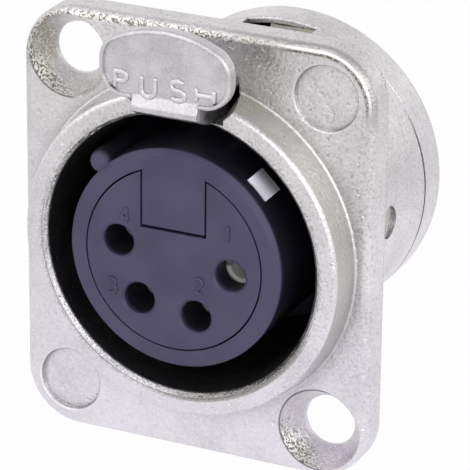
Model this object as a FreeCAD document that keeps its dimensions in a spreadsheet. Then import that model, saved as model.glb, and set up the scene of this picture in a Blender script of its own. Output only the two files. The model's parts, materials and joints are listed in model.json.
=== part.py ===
import FreeCAD, Part
import math
import os
import Sketcher

# A four-contact female chassis socket with a square flange, drawn in millimetres.
# The origin is where the axis of the round mouth meets the flange's rear face, which lies
# on the panel. +Z points up to the push tab, -Y points out to the mating plug, and +Y
# points to the rear of the panel.

SIZES = [
    ("flange_width", 26.0, "flange, across"),
    ("flange_height", 31.0, "flange, up and down"),
    ("flange_thickness", 2.2, "flange, front to rear"),
    ("flange_corner", 4.0, "radius of the flange's corners"),
    ("flange_rounding", 0.7, "rounding of the flange's front edge"),
    ("screw_edge", 3.5, "panel screw from the flange's edges"),
    ("screw_hole", 3.7, "diameter of a panel screw's hole"),
    ("countersink", 5.9, "diameter of its countersink at the front"),
    ("countersink_angle", 60.0, "included angle of the countersink"),
    ("disc_recess", 4.6, "diameter of the shallow round recesses"),
    ("disc_depth", 0.35, "their depth"),
    ("collar_height", 2.5, "collar, in front of the flange"),
    ("collar_wall", 1.6, "collar at its top, round the mouth"),
    ("collar_draft", 0.3, "collar is wider at its foot, each side"),
    ("collar_edge", 0.35, "rounding of the collar's outer edge"),
    ("mouth_step", 0.35, "mouth round the bore"),
    ("mouth_chamfer", 0.25, "chamfer of the mouth"),
    ("mouth_taper", 2.6, "length over which the mouth narrows to the bore"),
    ("plug_room", 1.85, "space for the plug's shell, round the insert"),
    ("barrel_wall", 1.1, "wall of the barrel round its rear seat"),
    ("barrel_rise", 0.7, "barrel's axis above the bore's axis"),
    ("barrel_length", 12.0, "barrel, behind the panel"),
    ("seat_step", 0.3, "rear seat round the bore"),
    ("seat_depth", 2.0, "its depth from the barrel's rear end"),
    ("ring_length", 3.0, "closing ring, front to rear"),
    ("ring_lip", 0.6, "thickness of the ring's rear lip"),
    ("ring_ledge", 1.05, "that lip reaches inwards from the seat's radius"),
    ("ring_rounding", 0.45, "rounding of the ring's rear edge"),
    ("joint_bevel", 0.12, "bevel of barrel and ring at their joint"),
    ("slot_width", 6.5, "latch slot through collar and flange"),
    ("flare", 0.75, "slot is wider at the collar's outer front edge, each side"),
    ("flare_low", 0.25, "that widening starts outside the mouth's radius"),
    ("flare_rise", 0.65, "height over which it widens"),
    ("flare_angle", 15.0, "draft of the widening"),
    ("shelf_drop", 0.1, "shelf under the latch, below the mouth's radius"),
    ("roof_front", 3.2, "slot's roof above the shelf at the collar's front"),
    ("roof_above_bore", 2.3, "top of the slot at the panel, over the bore"),
    ("window_width", 5.3, "window in the barrel's top"),
    ("window_depth", 1.2, "window's cut below the shelf"),
    ("hook_slot", 3.6, "narrow slot that lets the hook into the bore"),
    ("hook_slot_depth", 1.5, "its cut below the shelf"),
    ("dimple_radius", 1.15, "cast dimple on the barrel's side"),
    ("dimple_depth", 0.25, "its depth"),
    ("dimple_back", 5.6, "dimple, behind the panel"),
    ("insert_proud", 0.75, "insert's face in front of the collar"),
    ("insert_edge", 0.35, "chamfer of the insert's front edge"),
    ("core_edge", 2.23, "core, outside the contacts' circle"),
    ("sleeve_wall", 1.37, "sleeve's outer radius over the core's"),
    ("seam", 0.12, "gap between core and sleeve"),
    ("key_gap", 0.15, "gap beside the key"),
    ("key_foot_gap", 0.24, "gap under the key"),
    ("flange_ring", 1.0, "thickness of the sleeve's rear flange"),
    ("fit", 0.04, "clearance of the insert in the shell"),
    ("key_width", 4.6, "sleeve's key in the core"),
    ("key_bottom", 2.2, "underside of the key above the axis"),
    ("key_depth", 7.5, "key, front to rear"),
    ("nub_radius", 0.85, "polarising rib on the sleeve"),
    ("nub_out", 0.4, "rib's axis outside the sleeve"),
    ("nub_angle", 134.2, "rib's place round the sleeve"),
    ("nub_back", 0.1, "rib's front behind the insert's face"),
    ("contact_circle", 4.2, "radius of the contacts' circle"),
    ("contact_first", -6.0, "angle of contact 1 from +X"),
    ("contact_step", 61.0, "angle from one contact to the next"),
    ("entry_radius", 1.13, "radius of a contact's entry in the core"),
    ("entry_chamfer", 0.18, "chamfer of that entry"),
    ("entry_length", 3.3, "length of the entry"),
    ("first_ahead", 1.4, "contact 1 in front of the others, so that it mates first"),
    ("cavity_radius", 1.5, "radius of a contact's cavity"),
    ("contact_radius", 1.42, "outer radius of a contact's sleeve"),
    ("contact_bore", 0.95, "radius of a contact's bore"),
    ("contact_bore_depth", 9.0, "depth of that bore"),
    ("contact_lead", 0.15, "chamfer at the bore's mouth"),
    ("contact_back", 0.15, "contact's front behind the entry"),
    ("slit_width", 0.35, "slit of a contact"),
    ("slit_length", 5.5, "length of the slit"),
    ("contact_flange", 1.72, "radius of a contact's flange"),
    ("contact_flange_length", 0.9, "length of that flange"),
    ("tail_radius", 1.35, "radius of a contact's tail"),
    ("cup_radius", 1.13, "radius of the solder cup's bore"),
    ("cup_depth", 3.6, "depth of the solder cup"),
    ("cup_lip", 0.25, "height above its axis at which the cup is cut open"),
    ("cup_shoulder", 0.5, "closed part of the cup at its bottom"),
    ("tail_length", 4.6, "contact's tail behind the rear insert"),
    ("rear_rim", 0.9, "rear insert, behind the ring"),
    ("rear_recess", 0.9, "depth of the recess in the rear insert"),
    ("rear_wall", 1.0, "rear insert's rim round its recess"),
    ("boss_wall", 0.4, "wall of a boss round a contact's tail"),
    ("rib_width", 5.2, "rear insert's rib in the window"),
    ("rib_over_seat", 0.1, "top of that rib over the rear seat"),
    ("strip", 0.25, "thickness of the ground strip"),
    ("strip_width", 1.85, "width of the ground strip"),
    ("strip_angle", 45.2, "ground strip's place round the insert"),
    ("strip_groove", 0.62, "depth of its groove in the sleeve"),
    ("strip_back", 1.0, "strip's front behind the sleeve's chamfer"),
    ("strip_ramp", 0.84, "length of its front ramp"),
    ("strip_crest", 0.5, "length of the bow's top"),
    ("strip_run", 3.8, "length of its rear ramp"),
    ("strip_end", 0.74, "rounding of its tail's corners"),
    ("strip_tail", 3.8, "ground strip behind the rear insert"),
    ("strip_eye", 0.5, "radius of the eye in its tail"),
    ("pivot_back", 1.0, "latch's pivot behind the panel plane"),
    ("pivot_over_bore", 0.7, "latch's pivot above the bore"),
    ("pin_radius", 0.4, "radius of the pivot pin"),
    ("pin_length", 8.4, "length of the pivot pin"),
    ("pin_fit", 0.04, "clearance of the lever on its pin"),
    ("press", 0.01, "clearance of the pin in the housing"),
    ("neck_width", 4.8, "latch lever's neck"),
    ("neck_gap", 0.05, "lever above its shelf"),
    ("neck_land", 1.8, "neck's flat underside starts behind the tab's front"),
    ("neck_run", 2.5, "level part of the neck's top in front of the pivot"),
    ("neck_rise", 0.4, "neck's top rises to the mouth's front"),
    ("neck_root", 1.0, "neck's root on the back of the tab"),
    ("eye_under", 0.3, "lever's wall under the pin"),
    ("eye_over", 0.5, "lever's wall over the pin"),
    ("eye_foot", 0.5, "half the length of the eye's foot"),
    ("eye_reach", 0.9, "half the length of the eye"),
    ("tail_reach", 2.3, "lever's tail behind the pivot"),
    ("tail_under", 0.05, "tail's underside below the pivot"),
    ("tail_over", 0.6, "tail's top above the pivot"),
    ("hook_width", 3.2, "hook"),
    ("hook_reach", 0.65, "hook's tip inside the bore"),
    ("hook_ahead", 3.2, "hook's middle in front of the pivot"),
    ("hook_ramp", 0.9, "hook's front ramp"),
    ("hook_flat", 0.5, "flat of the hook's tip"),
    ("hook_rear", 0.1, "slope of the hook's rear face"),
    ("tab_width", 9.56, "push tab, across"),
    ("tab_height", 5.07, "push tab, up and down"),
    ("tab_under", 0.02, "tab's underside below the collar's top radius"),
    ("tab_stand", 4.8, "tab's face in front of the flange"),
    ("tab_thickness", 1.1, "push tab, front to rear"),
    ("tab_crown", 8.4, "radius of the tab's top edge"),
    ("tab_shoulder", 1.9, "radius of the tab's upper corners"),
    ("tab_corner", 1.9, "radius of the tab's lower corners"),
    ("tab_bead", 0.3, "bead round the tab"),
    ("tab_dish", 0.3, "depth of the dish inside the bead"),
    ("tab_edge", 0.25, "rounding of the tab's edges"),
    ("lip_drop", 0.78, "neck's lip below the tab"),
    ("lip_edge", 0.35, "height of the lip's flat front edge"),
    ("lip_run", 0.9, "steep part of the lip's underside, front to rear"),
    ("lip_fall", 0.48, "its fall"),
    ("leaf", 0.2, "thickness of the latch's leaf spring"),
    ("leaf_width", 4.9, "leaf spring, across"),
    ("leaf_lift", 1.0, "leaf spring's upturned end"),
    ("leaf_notch", 1.6, "part of that end that is cut away at the left"),
    ("leaf_touch", 0.9, "leaf under the lever's tail"),
    ("leaf_ramp", 2.5, "leaf's rise to the tail"),
    ("rivet_radius", 0.5, "shank of the leaf's rivet"),
    ("rivet_head", 0.7, "head of the rivet"),
    ("rivet_head_height", 0.35, "height of the rivet's head"),
    ("rivet_rounding", 0.24, "rounding of the head"),
    ("rivet_back", 0.85, "rivet behind the front of the rear seat"),
    ("rivet_depth", 0.9, "rivet in the rib"),
    ("spare", 1.0, "how far a cut runs past the material"),
    ("overlap", 0.1, "how far one form runs into the next"),
]
# Sizes that follow from others: the radii from the contacts out to the barrel, and some places.
TIED = [
    ("core_radius", "contact_circle + core_edge", "radius of the insert's core"),
    ("insert_radius", "core_radius + sleeve_wall", "outer radius of the insert's sleeve"),
    ("bore_radius", "insert_radius + plug_room", "radius of the bore that takes the plug"),
    ("mouth_radius", "bore_radius + mouth_step", "radius of the mouth"),
    ("collar_top", "mouth_radius + collar_wall", "outer radius of the collar at its top"),
    ("collar_foot", "collar_top + collar_draft", "outer radius of the collar at its foot"),
    ("seat_radius", "bore_radius + seat_step", "radius of the rear seat in the barrel"),
    ("barrel_radius", "seat_radius + barrel_wall", "outer radius of the barrel behind the panel"),
    ("ring_opening", "seat_radius - ring_ledge", "radius of the opening in the ring's lip"),
    ("cavity_floor", "barrel_length - seat_depth - flange_ring", "floor of the plug's space"),
    ("screw_across", "flange_width / 2 - screw_edge", "panel screw from the middle, across"),
    ("screw_up", "flange_height / 2 - screw_edge", "panel screw from the middle, up and down"),
    ("strip_bow", "plug_room / 2", "bow of the ground strip above the sleeve"),
]
SLACK = 1e-4
LEAST_VOLUME = 1e-6

os.makedirs("parts", exist_ok=True)
doc = FreeCAD.newDocument("socket")
sheet = doc.addObject("Spreadsheet::Sheet", "Sizes")
for row, (alias, value, meaning) in enumerate(SIZES + TIED, start=1):
    sheet.set(f"A{row}", f"={value}")
    sheet.setAlias(f"A{row}", alias)
    sheet.set(f"B{row}", meaning)
doc.recompute()


class Term:
    """A size, or sizes worked together: its number now and its formula for the document."""

    def __init__(self, number, formula=None):
        self.number = float(number)
        self.formula = formula if formula is not None else repr(float(number))

    def __add__(self, other):
        other = as_term(other)
        return Term(self.number + other.number, f"({self.formula} + {other.formula})")

    def __sub__(self, other):
        other = as_term(other)
        return Term(self.number - other.number, f"({self.formula} - {other.formula})")

    def __mul__(self, other):
        other = as_term(other)
        return Term(self.number * other.number, f"({self.formula} * {other.formula})")

    def __truediv__(self, other):
        other = as_term(other)
        return Term(self.number / other.number, f"({self.formula} / {other.formula})")

    def __neg__(self):
        return Term(-self.number, f"(0 - {self.formula})")

    __radd__ = __add__

    def __rsub__(self, other):
        return as_term(other) - self

    __rmul__ = __mul__


def as_term(value):
    return value if isinstance(value, Term) else Term(value)


def size(alias):
    return Term(sheet.get(alias), f"Sizes.{alias}")


def cosine(angle):
    return Term(math.cos(math.radians(angle.number)), f"cos({angle.formula})")


def sine(angle):
    return Term(math.sin(math.radians(angle.number)), f"sin({angle.formula})")


def root(value):
    return Term(math.sqrt(value.number), f"sqrt({value.formula})")


def new_body(name):
    body = doc.addObject("PartDesign::Body", name)
    body.Label = name
    return body


def new_sketch(body, plane, name, offset=None):
    """A sketch on one of the body's own planes, moved along that plane's normal."""
    sketch = body.newObject("Sketcher::SketchObject", f"{body.Name}_{name}")
    sketch.AttachmentSupport = [(next(f for f in body.Origin.OriginFeatures if f.Role == plane), "")]
    sketch.MapMode = "FlatFace"
    if offset is not None:
        sketch.setExpression("AttachmentOffset.Base.z", offset.formula)
    return sketch


def constrain(sketch, kind, label, term, *place):
    index = sketch.addConstraint(Sketcher.Constraint(kind, *place, term.number))
    sketch.renameConstraint(index, label)
    sketch.setExpression(f"Constraints.{label}", term.formula)


def outline(sketch, corners):
    """A closed outline. Each corner is (x, y) or (x, y, radius), where the radius bends the
    side that leads to the next corner, anticlockwise if it is positive."""
    corners = [tuple(as_term(part) for part in corner) for corner in corners]
    starts = []
    for at, corner in enumerate(corners):
        following = corners[(at + 1) % len(corners)]
        a = FreeCAD.Vector(corner[0].number, corner[1].number, 0)
        b = FreeCAD.Vector(following[0].number, following[1].number, 0)
        if len(corner) == 2:
            index = sketch.addGeometry(Part.LineSegment(a, b), False)
            starts.append((index, 1, 2))
            continue
        radius = corner[2].number
        half = (b - a) * 0.5
        rise = math.sqrt(max(radius * radius - half.Length ** 2, 0.0))
        side = FreeCAD.Vector(-half.y, half.x, 0) * (rise / half.Length)
        centre = a + half + (side if radius > 0 else side * -1)
        p, q = (a, b) if radius > 0 else (b, a)
        circle = Part.Circle(centre, FreeCAD.Vector(0, 0, 1), abs(radius))
        turn = [math.atan2(v.y - centre.y, v.x - centre.x) for v in (p, q)]
        index = sketch.addGeometry(Part.ArcOfCircle(circle, turn[0], turn[1]), False)
        starts.append((index, 1, 2) if radius > 0 else (index, 2, 1))
        bend = corner[2] if radius > 0 else -corner[2]
        constrain(sketch, "Radius", f"bend{at}", bend, index)
    for at, (index, start, _) in enumerate(starts):
        before, _, end = starts[at - 1]
        sketch.addConstraint(Sketcher.Constraint("Coincident", before, end, index, start))
        constrain(sketch, "DistanceX", f"x{at}", corners[at][0], -1, 1, index, start)
        constrain(sketch, "DistanceY", f"y{at}", corners[at][1], -1, 1, index, start)


def circles(sketch, places, radius):
    for at, (x, y) in enumerate(places):
        x, y = as_term(x), as_term(y)
        centre = FreeCAD.Vector(x.number, y.number, 0)
        index = sketch.addGeometry(Part.Circle(centre, FreeCAD.Vector(0, 0, 1), radius.number), False)
        constrain(sketch, "DistanceX", f"across{at}", x, -1, 1, index, 3)
        constrain(sketch, "DistanceY", f"up{at}", y, -1, 1, index, 3)
        constrain(sketch, "Radius", f"radius{at}", radius, index)


def settle(body, before, grows):
    """Recompute, and see that the last feature really added or removed material."""
    doc.recompute()
    now = body.Shape.Volume
    if (now > before) != grows or abs(now - before) < LEAST_VOLUME:
        raise RuntimeError(f"{body.Label}: the last feature changed nothing")


def volume(body):
    doc.recompute()
    return 0.0 if body.Tip is None else body.Shape.Volume


def prism(body, kind, sketch, length, both=False, reverse=False, draft=None):
    """Pad or Pocket of a sketch; a draft lets it grow narrower or wider on its way."""
    before = volume(body)
    feature = body.newObject(f"PartDesign::{kind}", f"{sketch.Name}_{kind.lower()}")
    feature.Profile = sketch
    feature.setExpression("Length", length.formula)
    feature.SideType = "Symmetric" if both else "One side"
    feature.Reversed = reverse
    if draft is not None:
        feature.setExpression("TaperAngle", draft.formula)
    settle(body, before, kind == "Pad")
    return feature


def turned(body, kind, name, corners):
    """Revolution or Groove about the Y axis; the outline gives (radius, y)."""
    before = volume(body)
    sketch = new_sketch(body, "XY_Plane", name)
    outline(sketch, corners)
    feature = body.newObject(f"PartDesign::{kind}", f"{sketch.Name}_{kind.lower()}")
    feature.Profile = sketch
    feature.ReferenceAxis = (sketch, ["V_Axis"])
    feature.Angle = 360
    settle(body, before, kind == "Revolution")
    return feature


def across(body, kind, name, corners, width):
    """Pad or Pocket across the part: the outline gives (y, z), the width is along X."""
    sketch = new_sketch(body, "YZ_Plane", name)
    outline(sketch, corners)
    return prism(body, kind, sketch, width, both=True)


def edge_names(body, test):
    doc.recompute()
    return [f"Edge{at}" for at, edge in enumerate(body.Shape.Edges, start=1) if test(edge)]


def dress(body, kind, name, amount, test):
    """Fillet or Chamfer on the edges that pass the test."""
    names = edge_names(body, test)
    if not names:
        raise RuntimeError(f"{body.Label}: no edge for {name}")
    base = body.Tip
    feature = body.newObject(f"PartDesign::{kind}", f"{body.Name}_{name}")
    feature.Base = (base, names)
    feature.setExpression("Radius" if kind == "Fillet" else "Size", amount.formula)
    doc.recompute()
    return feature


def flat_at(edge, axis, place):
    """Does the edge lie in the plane across this axis at this place?"""
    box = edge.BoundBox
    low, high = {"x": (box.XMin, box.XMax), "y": (box.YMin, box.YMax), "z": (box.ZMin, box.ZMax)}[axis]
    return abs(low - place) < SLACK and abs(high - place) < SLACK


def round_edge(edge, radius):
    return isinstance(edge.Curve, Part.Circle) and abs(edge.Curve.Radius - radius) < SLACK


# Places that several pieces share.
panel_front = -size("flange_thickness")
mouth_front = panel_front - size("collar_height")
face = mouth_front - size("insert_proud")
barrel_end = size("barrel_length")
ring_end = barrel_end + size("ring_length")
seat_front = barrel_end - size("seat_depth")
sleeve_rear = seat_front
rear_face = ring_end + size("rear_rim")
strip_tip = face + size("insert_edge") + size("strip_back")
shelf = size("mouth_radius") - size("shelf_drop")
pivot_y = size("pivot_back")
pivot_z = size("bore_radius") + size("pivot_over_bore")
tab_front = panel_front - size("tab_stand")
tab_rear = tab_front + size("tab_thickness")
tab_bottom = size("collar_top") - size("tab_under")
tab_top = tab_bottom + size("tab_height")
rib_top = size("seat_radius") + size("rib_over_seat")
leaf_low = rib_top + size("press")
rivet_y = seat_front + size("rivet_back")
tail_end = pivot_y + size("tail_reach")
spare = size("spare")
fit = size("fit")


def contact_place(number):
    angle = size("contact_first") - size("contact_step") * (number - 1)
    return size("contact_circle") * cosine(angle), size("contact_circle") * sine(angle)


def entry_length(number):
    """Contact 1 stands further forward than the others."""
    return size("entry_length") - (size("first_ahead") if number == CONTACTS[0] else 0)


CONTACTS = [1, 2, 3, 4]


# Housing: the die-cast shell with its flange, collar, barrel, latch slot and window.
def make_housing():
    body = new_body("housing")
    half_width = size("flange_width") / 2
    half_height = size("flange_height") / 2
    sketch = new_sketch(body, "XZ_Plane", "flange")
    outline(sketch, [(-half_width, -half_height), (half_width, -half_height),
                     (half_width, half_height), (-half_width, half_height)])
    prism(body, "Pad", sketch, size("flange_thickness"))

    def corner(edge):
        box = edge.BoundBox
        return box.YLength > size("flange_thickness").number / 2

    dress(body, "Fillet", "corners", size("flange_corner"), corner)
    front = panel_front.number
    dress(body, "Fillet", "front_edge", size("flange_rounding"), lambda e: flat_at(e, "y", front))

    edge = size("collar_edge")
    turned(body, "Revolution", "collar", [
        (0, panel_front / 2),
        (size("collar_foot"), panel_front / 2),
        (size("collar_foot"), panel_front),
        (size("collar_top"), mouth_front + edge, -edge),
        (size("collar_top") - edge, mouth_front),
        (0, mouth_front)])
    sketch = new_sketch(body, "XZ_Plane", "barrel", -barrel_end)
    circles(sketch, [(0, size("barrel_rise"))], size("barrel_radius"))
    prism(body, "Pad", sketch, barrel_end - panel_front / 2)
    rear = barrel_end.number
    dress(body, "Chamfer", "rear_edge", size("joint_bevel"), lambda e: flat_at(e, "y", rear))

    turned(body, "Groove", "bore", [
        (0, mouth_front - spare),
        (size("mouth_radius") + size("mouth_chamfer") + spare, mouth_front - spare),
        (size("mouth_radius"), mouth_front + size("mouth_chamfer")),
        (size("bore_radius"), mouth_front + size("mouth_taper")),
        (size("bore_radius"), seat_front),
        (size("seat_radius"), seat_front),
        (size("seat_radius"), barrel_end + spare),
        (0, barrel_end + spare)])

    # The slot's roof slopes up to the front, where the lever's neck swings.
    room = mouth_front - spare
    across(body, "Pocket", "slot", [
        (room, shelf),
        (0, shelf),
        (0, size("bore_radius") + size("roof_above_bore")),
        (mouth_front, shelf + size("roof_front")),
        (room, shelf + size("roof_front"))], size("slot_width"))
    across(body, "Pocket", "hook_slot", [
        (room, shelf - size("hook_slot_depth")),
        (0, shelf - size("hook_slot_depth")),
        (0, shelf + size("overlap")),
        (room, shelf + size("overlap"))], size("hook_slot"))
    half_slot = size("slot_width") / 2
    wide = half_slot + size("flare")
    low = size("mouth_radius") + size("flare_low")
    high = low + size("flare_rise")
    top = size("collar_foot") + spare
    sketch = new_sketch(body, "XZ_Plane", "flare", -mouth_front)
    outline(sketch, [(-half_slot, low), (half_slot, low), (wide, high),
                     (wide, top), (-wide, top), (-wide, high)])
    prism(body, "Pocket", sketch, size("collar_height"), draft=-size("flare_angle"))
    window_top = size("barrel_radius") + size("barrel_rise") + spare
    across(body, "Pocket", "window", [
        (0, shelf - size("window_depth")),
        (barrel_end + spare, shelf - size("window_depth")),
        (barrel_end + spare, window_top),
        (0, window_top)], size("window_width"))

    # The pivot pin's hole is drilled from the right and stops in the left wall.
    half_pin = size("pin_length") / 2
    sketch = new_sketch(body, "YZ_Plane", "pin_hole", -half_pin)
    circles(sketch, [(pivot_y, pivot_z)], size("pin_radius") + size("press"))
    prism(body, "Pocket", sketch, half_pin + size("barrel_radius"), reverse=True)

    side = size("barrel_radius") - size("dimple_depth")
    sketch = new_sketch(body, "YZ_Plane", "dimple", side)
    circles(sketch, [(size("dimple_back"), size("barrel_rise"))], size("dimple_radius"))
    prism(body, "Pocket", sketch, size("dimple_depth") * 2, reverse=True)

    sketch = new_sketch(body, "XZ_Plane", "discs", size("flange_thickness"))
    circles(sketch, [(-size("screw_across"), -size("screw_up")),
                     (size("screw_across"), size("screw_up"))], size("disc_recess") / 2)
    prism(body, "Pocket", sketch, size("disc_depth"))

    sketch = new_sketch(body, "XZ_Plane", "screws", size("flange_thickness"))
    circles(sketch, [(-size("screw_across"), size("screw_up")),
                     (size("screw_across"), -size("screw_up"))], size("screw_hole") / 2)
    before = volume(body)
    hole = body.newObject("PartDesign::Hole", "housing_screw_holes")
    hole.Profile = sketch
    doc.recompute()
    hole.Threaded = False
    hole.DepthType = "ThroughAll"
    hole.setExpression("Diameter", size("screw_hole").formula)
    hole.HoleCutType = "Countersink"
    hole.setExpression("HoleCutDiameter", size("countersink").formula)
    hole.setExpression("HoleCutCountersinkAngle", size("countersink_angle").formula)
    settle(body, before, False)
    return body


# Closing ring on the barrel's rear end; its lip holds the rear insert.
def make_rear_ring():
    body = new_body("rear_ring")
    sketch = new_sketch(body, "XZ_Plane", "ring", -ring_end)
    circles(sketch, [(0, size("barrel_rise"))], size("barrel_radius"))
    prism(body, "Pad", sketch, size("ring_length"))
    joint, rear = barrel_end.number, ring_end.number
    dress(body, "Chamfer", "front_edge", size("joint_bevel"), lambda e: flat_at(e, "y", joint))
    dress(body, "Fillet", "rear_edge", size("ring_rounding"), lambda e: flat_at(e, "y", rear))
    turned(body, "Groove", "opening", [
        (0, barrel_end - spare),
        (size("seat_radius"), barrel_end - spare),
        (size("seat_radius"), ring_end - size("ring_lip")),
        (size("ring_opening"), ring_end - size("ring_lip")),
        (size("ring_opening"), ring_end + spare),
        (0, ring_end + spare)])
    return body


def strip_slot(sketch, inner, outer, width):
    """A rectangle across the ground strip's place, from one radius to another."""
    along = (cosine(size("strip_angle")), sine(size("strip_angle")))
    half = width / 2
    places = [(inner, -half), (outer, -half), (outer, half), (inner, half)]
    outline(sketch, [(r * along[0] - t * along[1], r * along[1] + t * along[0]) for r, t in places])


# Sleeve: the insert's outer wall, with the key, the polarising rib and the rear flange.
def make_insert_sleeve():
    body = new_body("insert_sleeve")
    inner = size("core_radius") + size("seam")
    outer = size("insert_radius")
    turned(body, "Revolution", "wall", [
        (inner, face),
        (outer - size("insert_edge"), face),
        (outer, face + size("insert_edge")),
        (outer, size("cavity_floor")),
        (size("bore_radius") - fit, size("cavity_floor")),
        (size("bore_radius") - fit, sleeve_rear),
        (inner, sleeve_rear)])
    half_key = size("key_width") / 2
    sketch = new_sketch(body, "XZ_Plane", "key", -(face + size("key_depth")))
    outline(sketch, [(-half_key, size("key_bottom")), (half_key, size("key_bottom")),
                     (half_key, inner), (-half_key, inner)])
    prism(body, "Pad", sketch, size("key_depth"))
    angle = size("nub_angle")
    nub_out = outer + size("nub_out")
    nub = (nub_out * cosine(angle), nub_out * sine(angle))
    dome = face + size("nub_back") + size("nub_radius")
    sketch = new_sketch(body, "XZ_Plane", "nub", -size("cavity_floor"))
    circles(sketch, [nub], size("nub_radius"))
    prism(body, "Pad", sketch, size("cavity_floor") - dome)
    before = volume(body)
    ball = body.newObject("PartDesign::AdditiveSphere", "insert_sleeve_dome")
    ball.setExpression("Radius", size("nub_radius").formula)
    ball.setExpression("Placement.Base.x", nub[0].formula)
    ball.setExpression("Placement.Base.y", dome.formula)
    ball.setExpression("Placement.Base.z", nub[1].formula)
    settle(body, before, True)
    sketch = new_sketch(body, "XZ_Plane", "groove", -(sleeve_rear + spare))
    strip_slot(sketch, outer - size("strip_groove"), outer + spare, size("strip_width") + fit * 2)
    prism(body, "Pocket", sketch, sleeve_rear + spare + fit * 2 - strip_tip, reverse=True)
    return body


# Core: the disc with four entries and the long cavities behind them.
def make_insert_core():
    body = new_body("insert_core")
    turned(body, "Revolution", "core", [
        (0, face), (size("core_radius"), face), (size("core_radius"), sleeve_rear), (0, sleeve_rear)])
    places = [contact_place(number) for number in CONTACTS]
    sketch = new_sketch(body, "XZ_Plane", "entries", -(sleeve_rear + spare))
    circles(sketch, places, size("entry_radius"))
    prism(body, "Pocket", sketch, sleeve_rear + spare * 2 - face, reverse=True)
    dress(body, "Chamfer", "entry_edges", size("entry_chamfer"),
          lambda e: round_edge(e, size("entry_radius").number) and flat_at(e, "y", face.number))
    for number, place in zip(CONTACTS, places):
        sketch = new_sketch(body, "XZ_Plane", f"cavity_{number}", -sleeve_rear)
        circles(sketch, [place], size("cavity_radius"))
        prism(body, "Pocket", sketch, sleeve_rear - face - entry_length(number), reverse=True)
    sketch = new_sketch(body, "XZ_Plane", "flange_seats", -sleeve_rear)
    circles(sketch, places, size("contact_flange") + fit)
    prism(body, "Pocket", sketch, size("contact_flange_length") + fit, reverse=True)
    half_key = size("key_width") / 2 + size("key_gap")
    sketch = new_sketch(body, "XZ_Plane", "keyway", -(face + size("key_depth") + fit))
    outline(sketch, [(-half_key, size("key_bottom") - size("key_foot_gap")),
                     (half_key, size("key_bottom") - size("key_foot_gap")),
                     (half_key, size("core_radius") + spare),
                     (-half_key, size("core_radius") + spare)])
    prism(body, "Pocket", sketch, size("key_depth") + spare, reverse=True)
    return body


# Rear insert: it closes the shell, holds the contacts' flanges and carries the leaf spring.
def make_insert_rear():
    body = new_body("insert_rear")
    outer = size("seat_radius") - fit
    neck = size("ring_opening") - fit
    floor = rear_face - size("rear_recess")
    turned(body, "Revolution", "body", [
        (0, sleeve_rear),
        (outer, sleeve_rear),
        (outer, ring_end - size("ring_lip") - fit),
        (neck, ring_end - size("ring_lip") - fit),
        (neck, rear_face),
        (neck - size("rear_wall"), rear_face),
        (neck - size("rear_wall"), floor),
        (0, floor)])
    half_rib = size("rib_width") / 2
    sketch = new_sketch(body, "XZ_Plane", "rib", -barrel_end)
    outline(sketch, [(-half_rib, size("insert_radius")), (half_rib, size("insert_radius")),
                     (half_rib, rib_top), (-half_rib, rib_top)])
    prism(body, "Pad", sketch, barrel_end - sleeve_rear)
    places = [contact_place(number) for number in CONTACTS]
    sketch = new_sketch(body, "XZ_Plane", "bosses", -rear_face)
    circles(sketch, places, size("tail_radius") + size("boss_wall"))
    prism(body, "Pad", sketch, size("rear_recess") + fit)
    sketch = new_sketch(body, "XZ_Plane", "tail_holes", -(rear_face + spare))
    circles(sketch, places, size("tail_radius") + fit)
    prism(body, "Pocket", sketch, rear_face + spare * 2 - sleeve_rear, reverse=True)
    sketch = new_sketch(body, "XZ_Plane", "strip_slot", -(rear_face + spare))
    floor_radius = size("insert_radius") - size("strip_groove")
    strip_slot(sketch, floor_radius, floor_radius + size("strip") + fit * 2,
               size("strip_width") + fit * 2)
    prism(body, "Pocket", sketch, rear_face + spare * 2 - sleeve_rear, reverse=True)
    sketch = new_sketch(body, "XY_Plane", "rivet_hole", rib_top - size("rivet_depth") - fit)
    circles(sketch, [(0, rivet_y)], size("rivet_radius") + size("press"))
    prism(body, "Pocket", sketch, size("rivet_depth") + spare, reverse=True)
    return body


# Contact: a turned socket with a slit sleeve, a flange, a tail and a solder cup.
def make_contact(number):
    body = new_body(f"contact_{number}")
    x, z = contact_place(number)
    front = face + entry_length(number) + size("contact_back")
    flange_front = sleeve_rear - size("contact_flange_length")
    cup_end = rear_face + size("tail_length")
    cup_floor = cup_end - size("cup_depth")
    common_front = face + size("entry_length") + size("contact_back")
    bore_end = common_front + size("contact_bore_depth")
    turned(body, "Revolution", "turned", [
        (size("contact_bore"), front + size("contact_lead")),
        (size("contact_bore") + size("contact_lead"), front),
        (size("contact_radius"), front),
        (size("contact_radius"), flange_front),
        (size("contact_flange"), flange_front),
        (size("contact_flange"), sleeve_rear - fit / 2),
        (size("tail_radius"), sleeve_rear - fit / 2),
        (size("tail_radius"), cup_end),
        (size("cup_radius"), cup_end),
        (size("cup_radius"), cup_floor),
        (0, cup_floor),
        (0, bore_end),
        (size("contact_bore"), bore_end - size("contact_bore") / 2)])
    half = size("slit_width") / 2
    reach = size("contact_radius") + spare
    slit_end = common_front + size("slit_length")
    sketch = new_sketch(body, "YZ_Plane", "slit")
    outline(sketch, [(front - spare, -half), (slit_end, -half), (slit_end, half), (front - spare, half)])
    prism(body, "Pocket", sketch, reach * 2, both=True)
    # The upper half of the cup is cut away, so that a wire can be laid in.
    sketch = new_sketch(body, "YZ_Plane", "cup_mouth")
    cut = cup_floor + size("cup_shoulder")
    outline(sketch, [(cut, size("cup_lip")), (cup_end + spare, size("cup_lip")),
                     (cup_end + spare, reach), (cut, reach)])
    prism(body, "Pocket", sketch, reach * 2, both=True)
    body.setExpression("Placement.Base.x", x.formula)
    body.setExpression("Placement.Base.z", z.formula)
    return body


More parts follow.
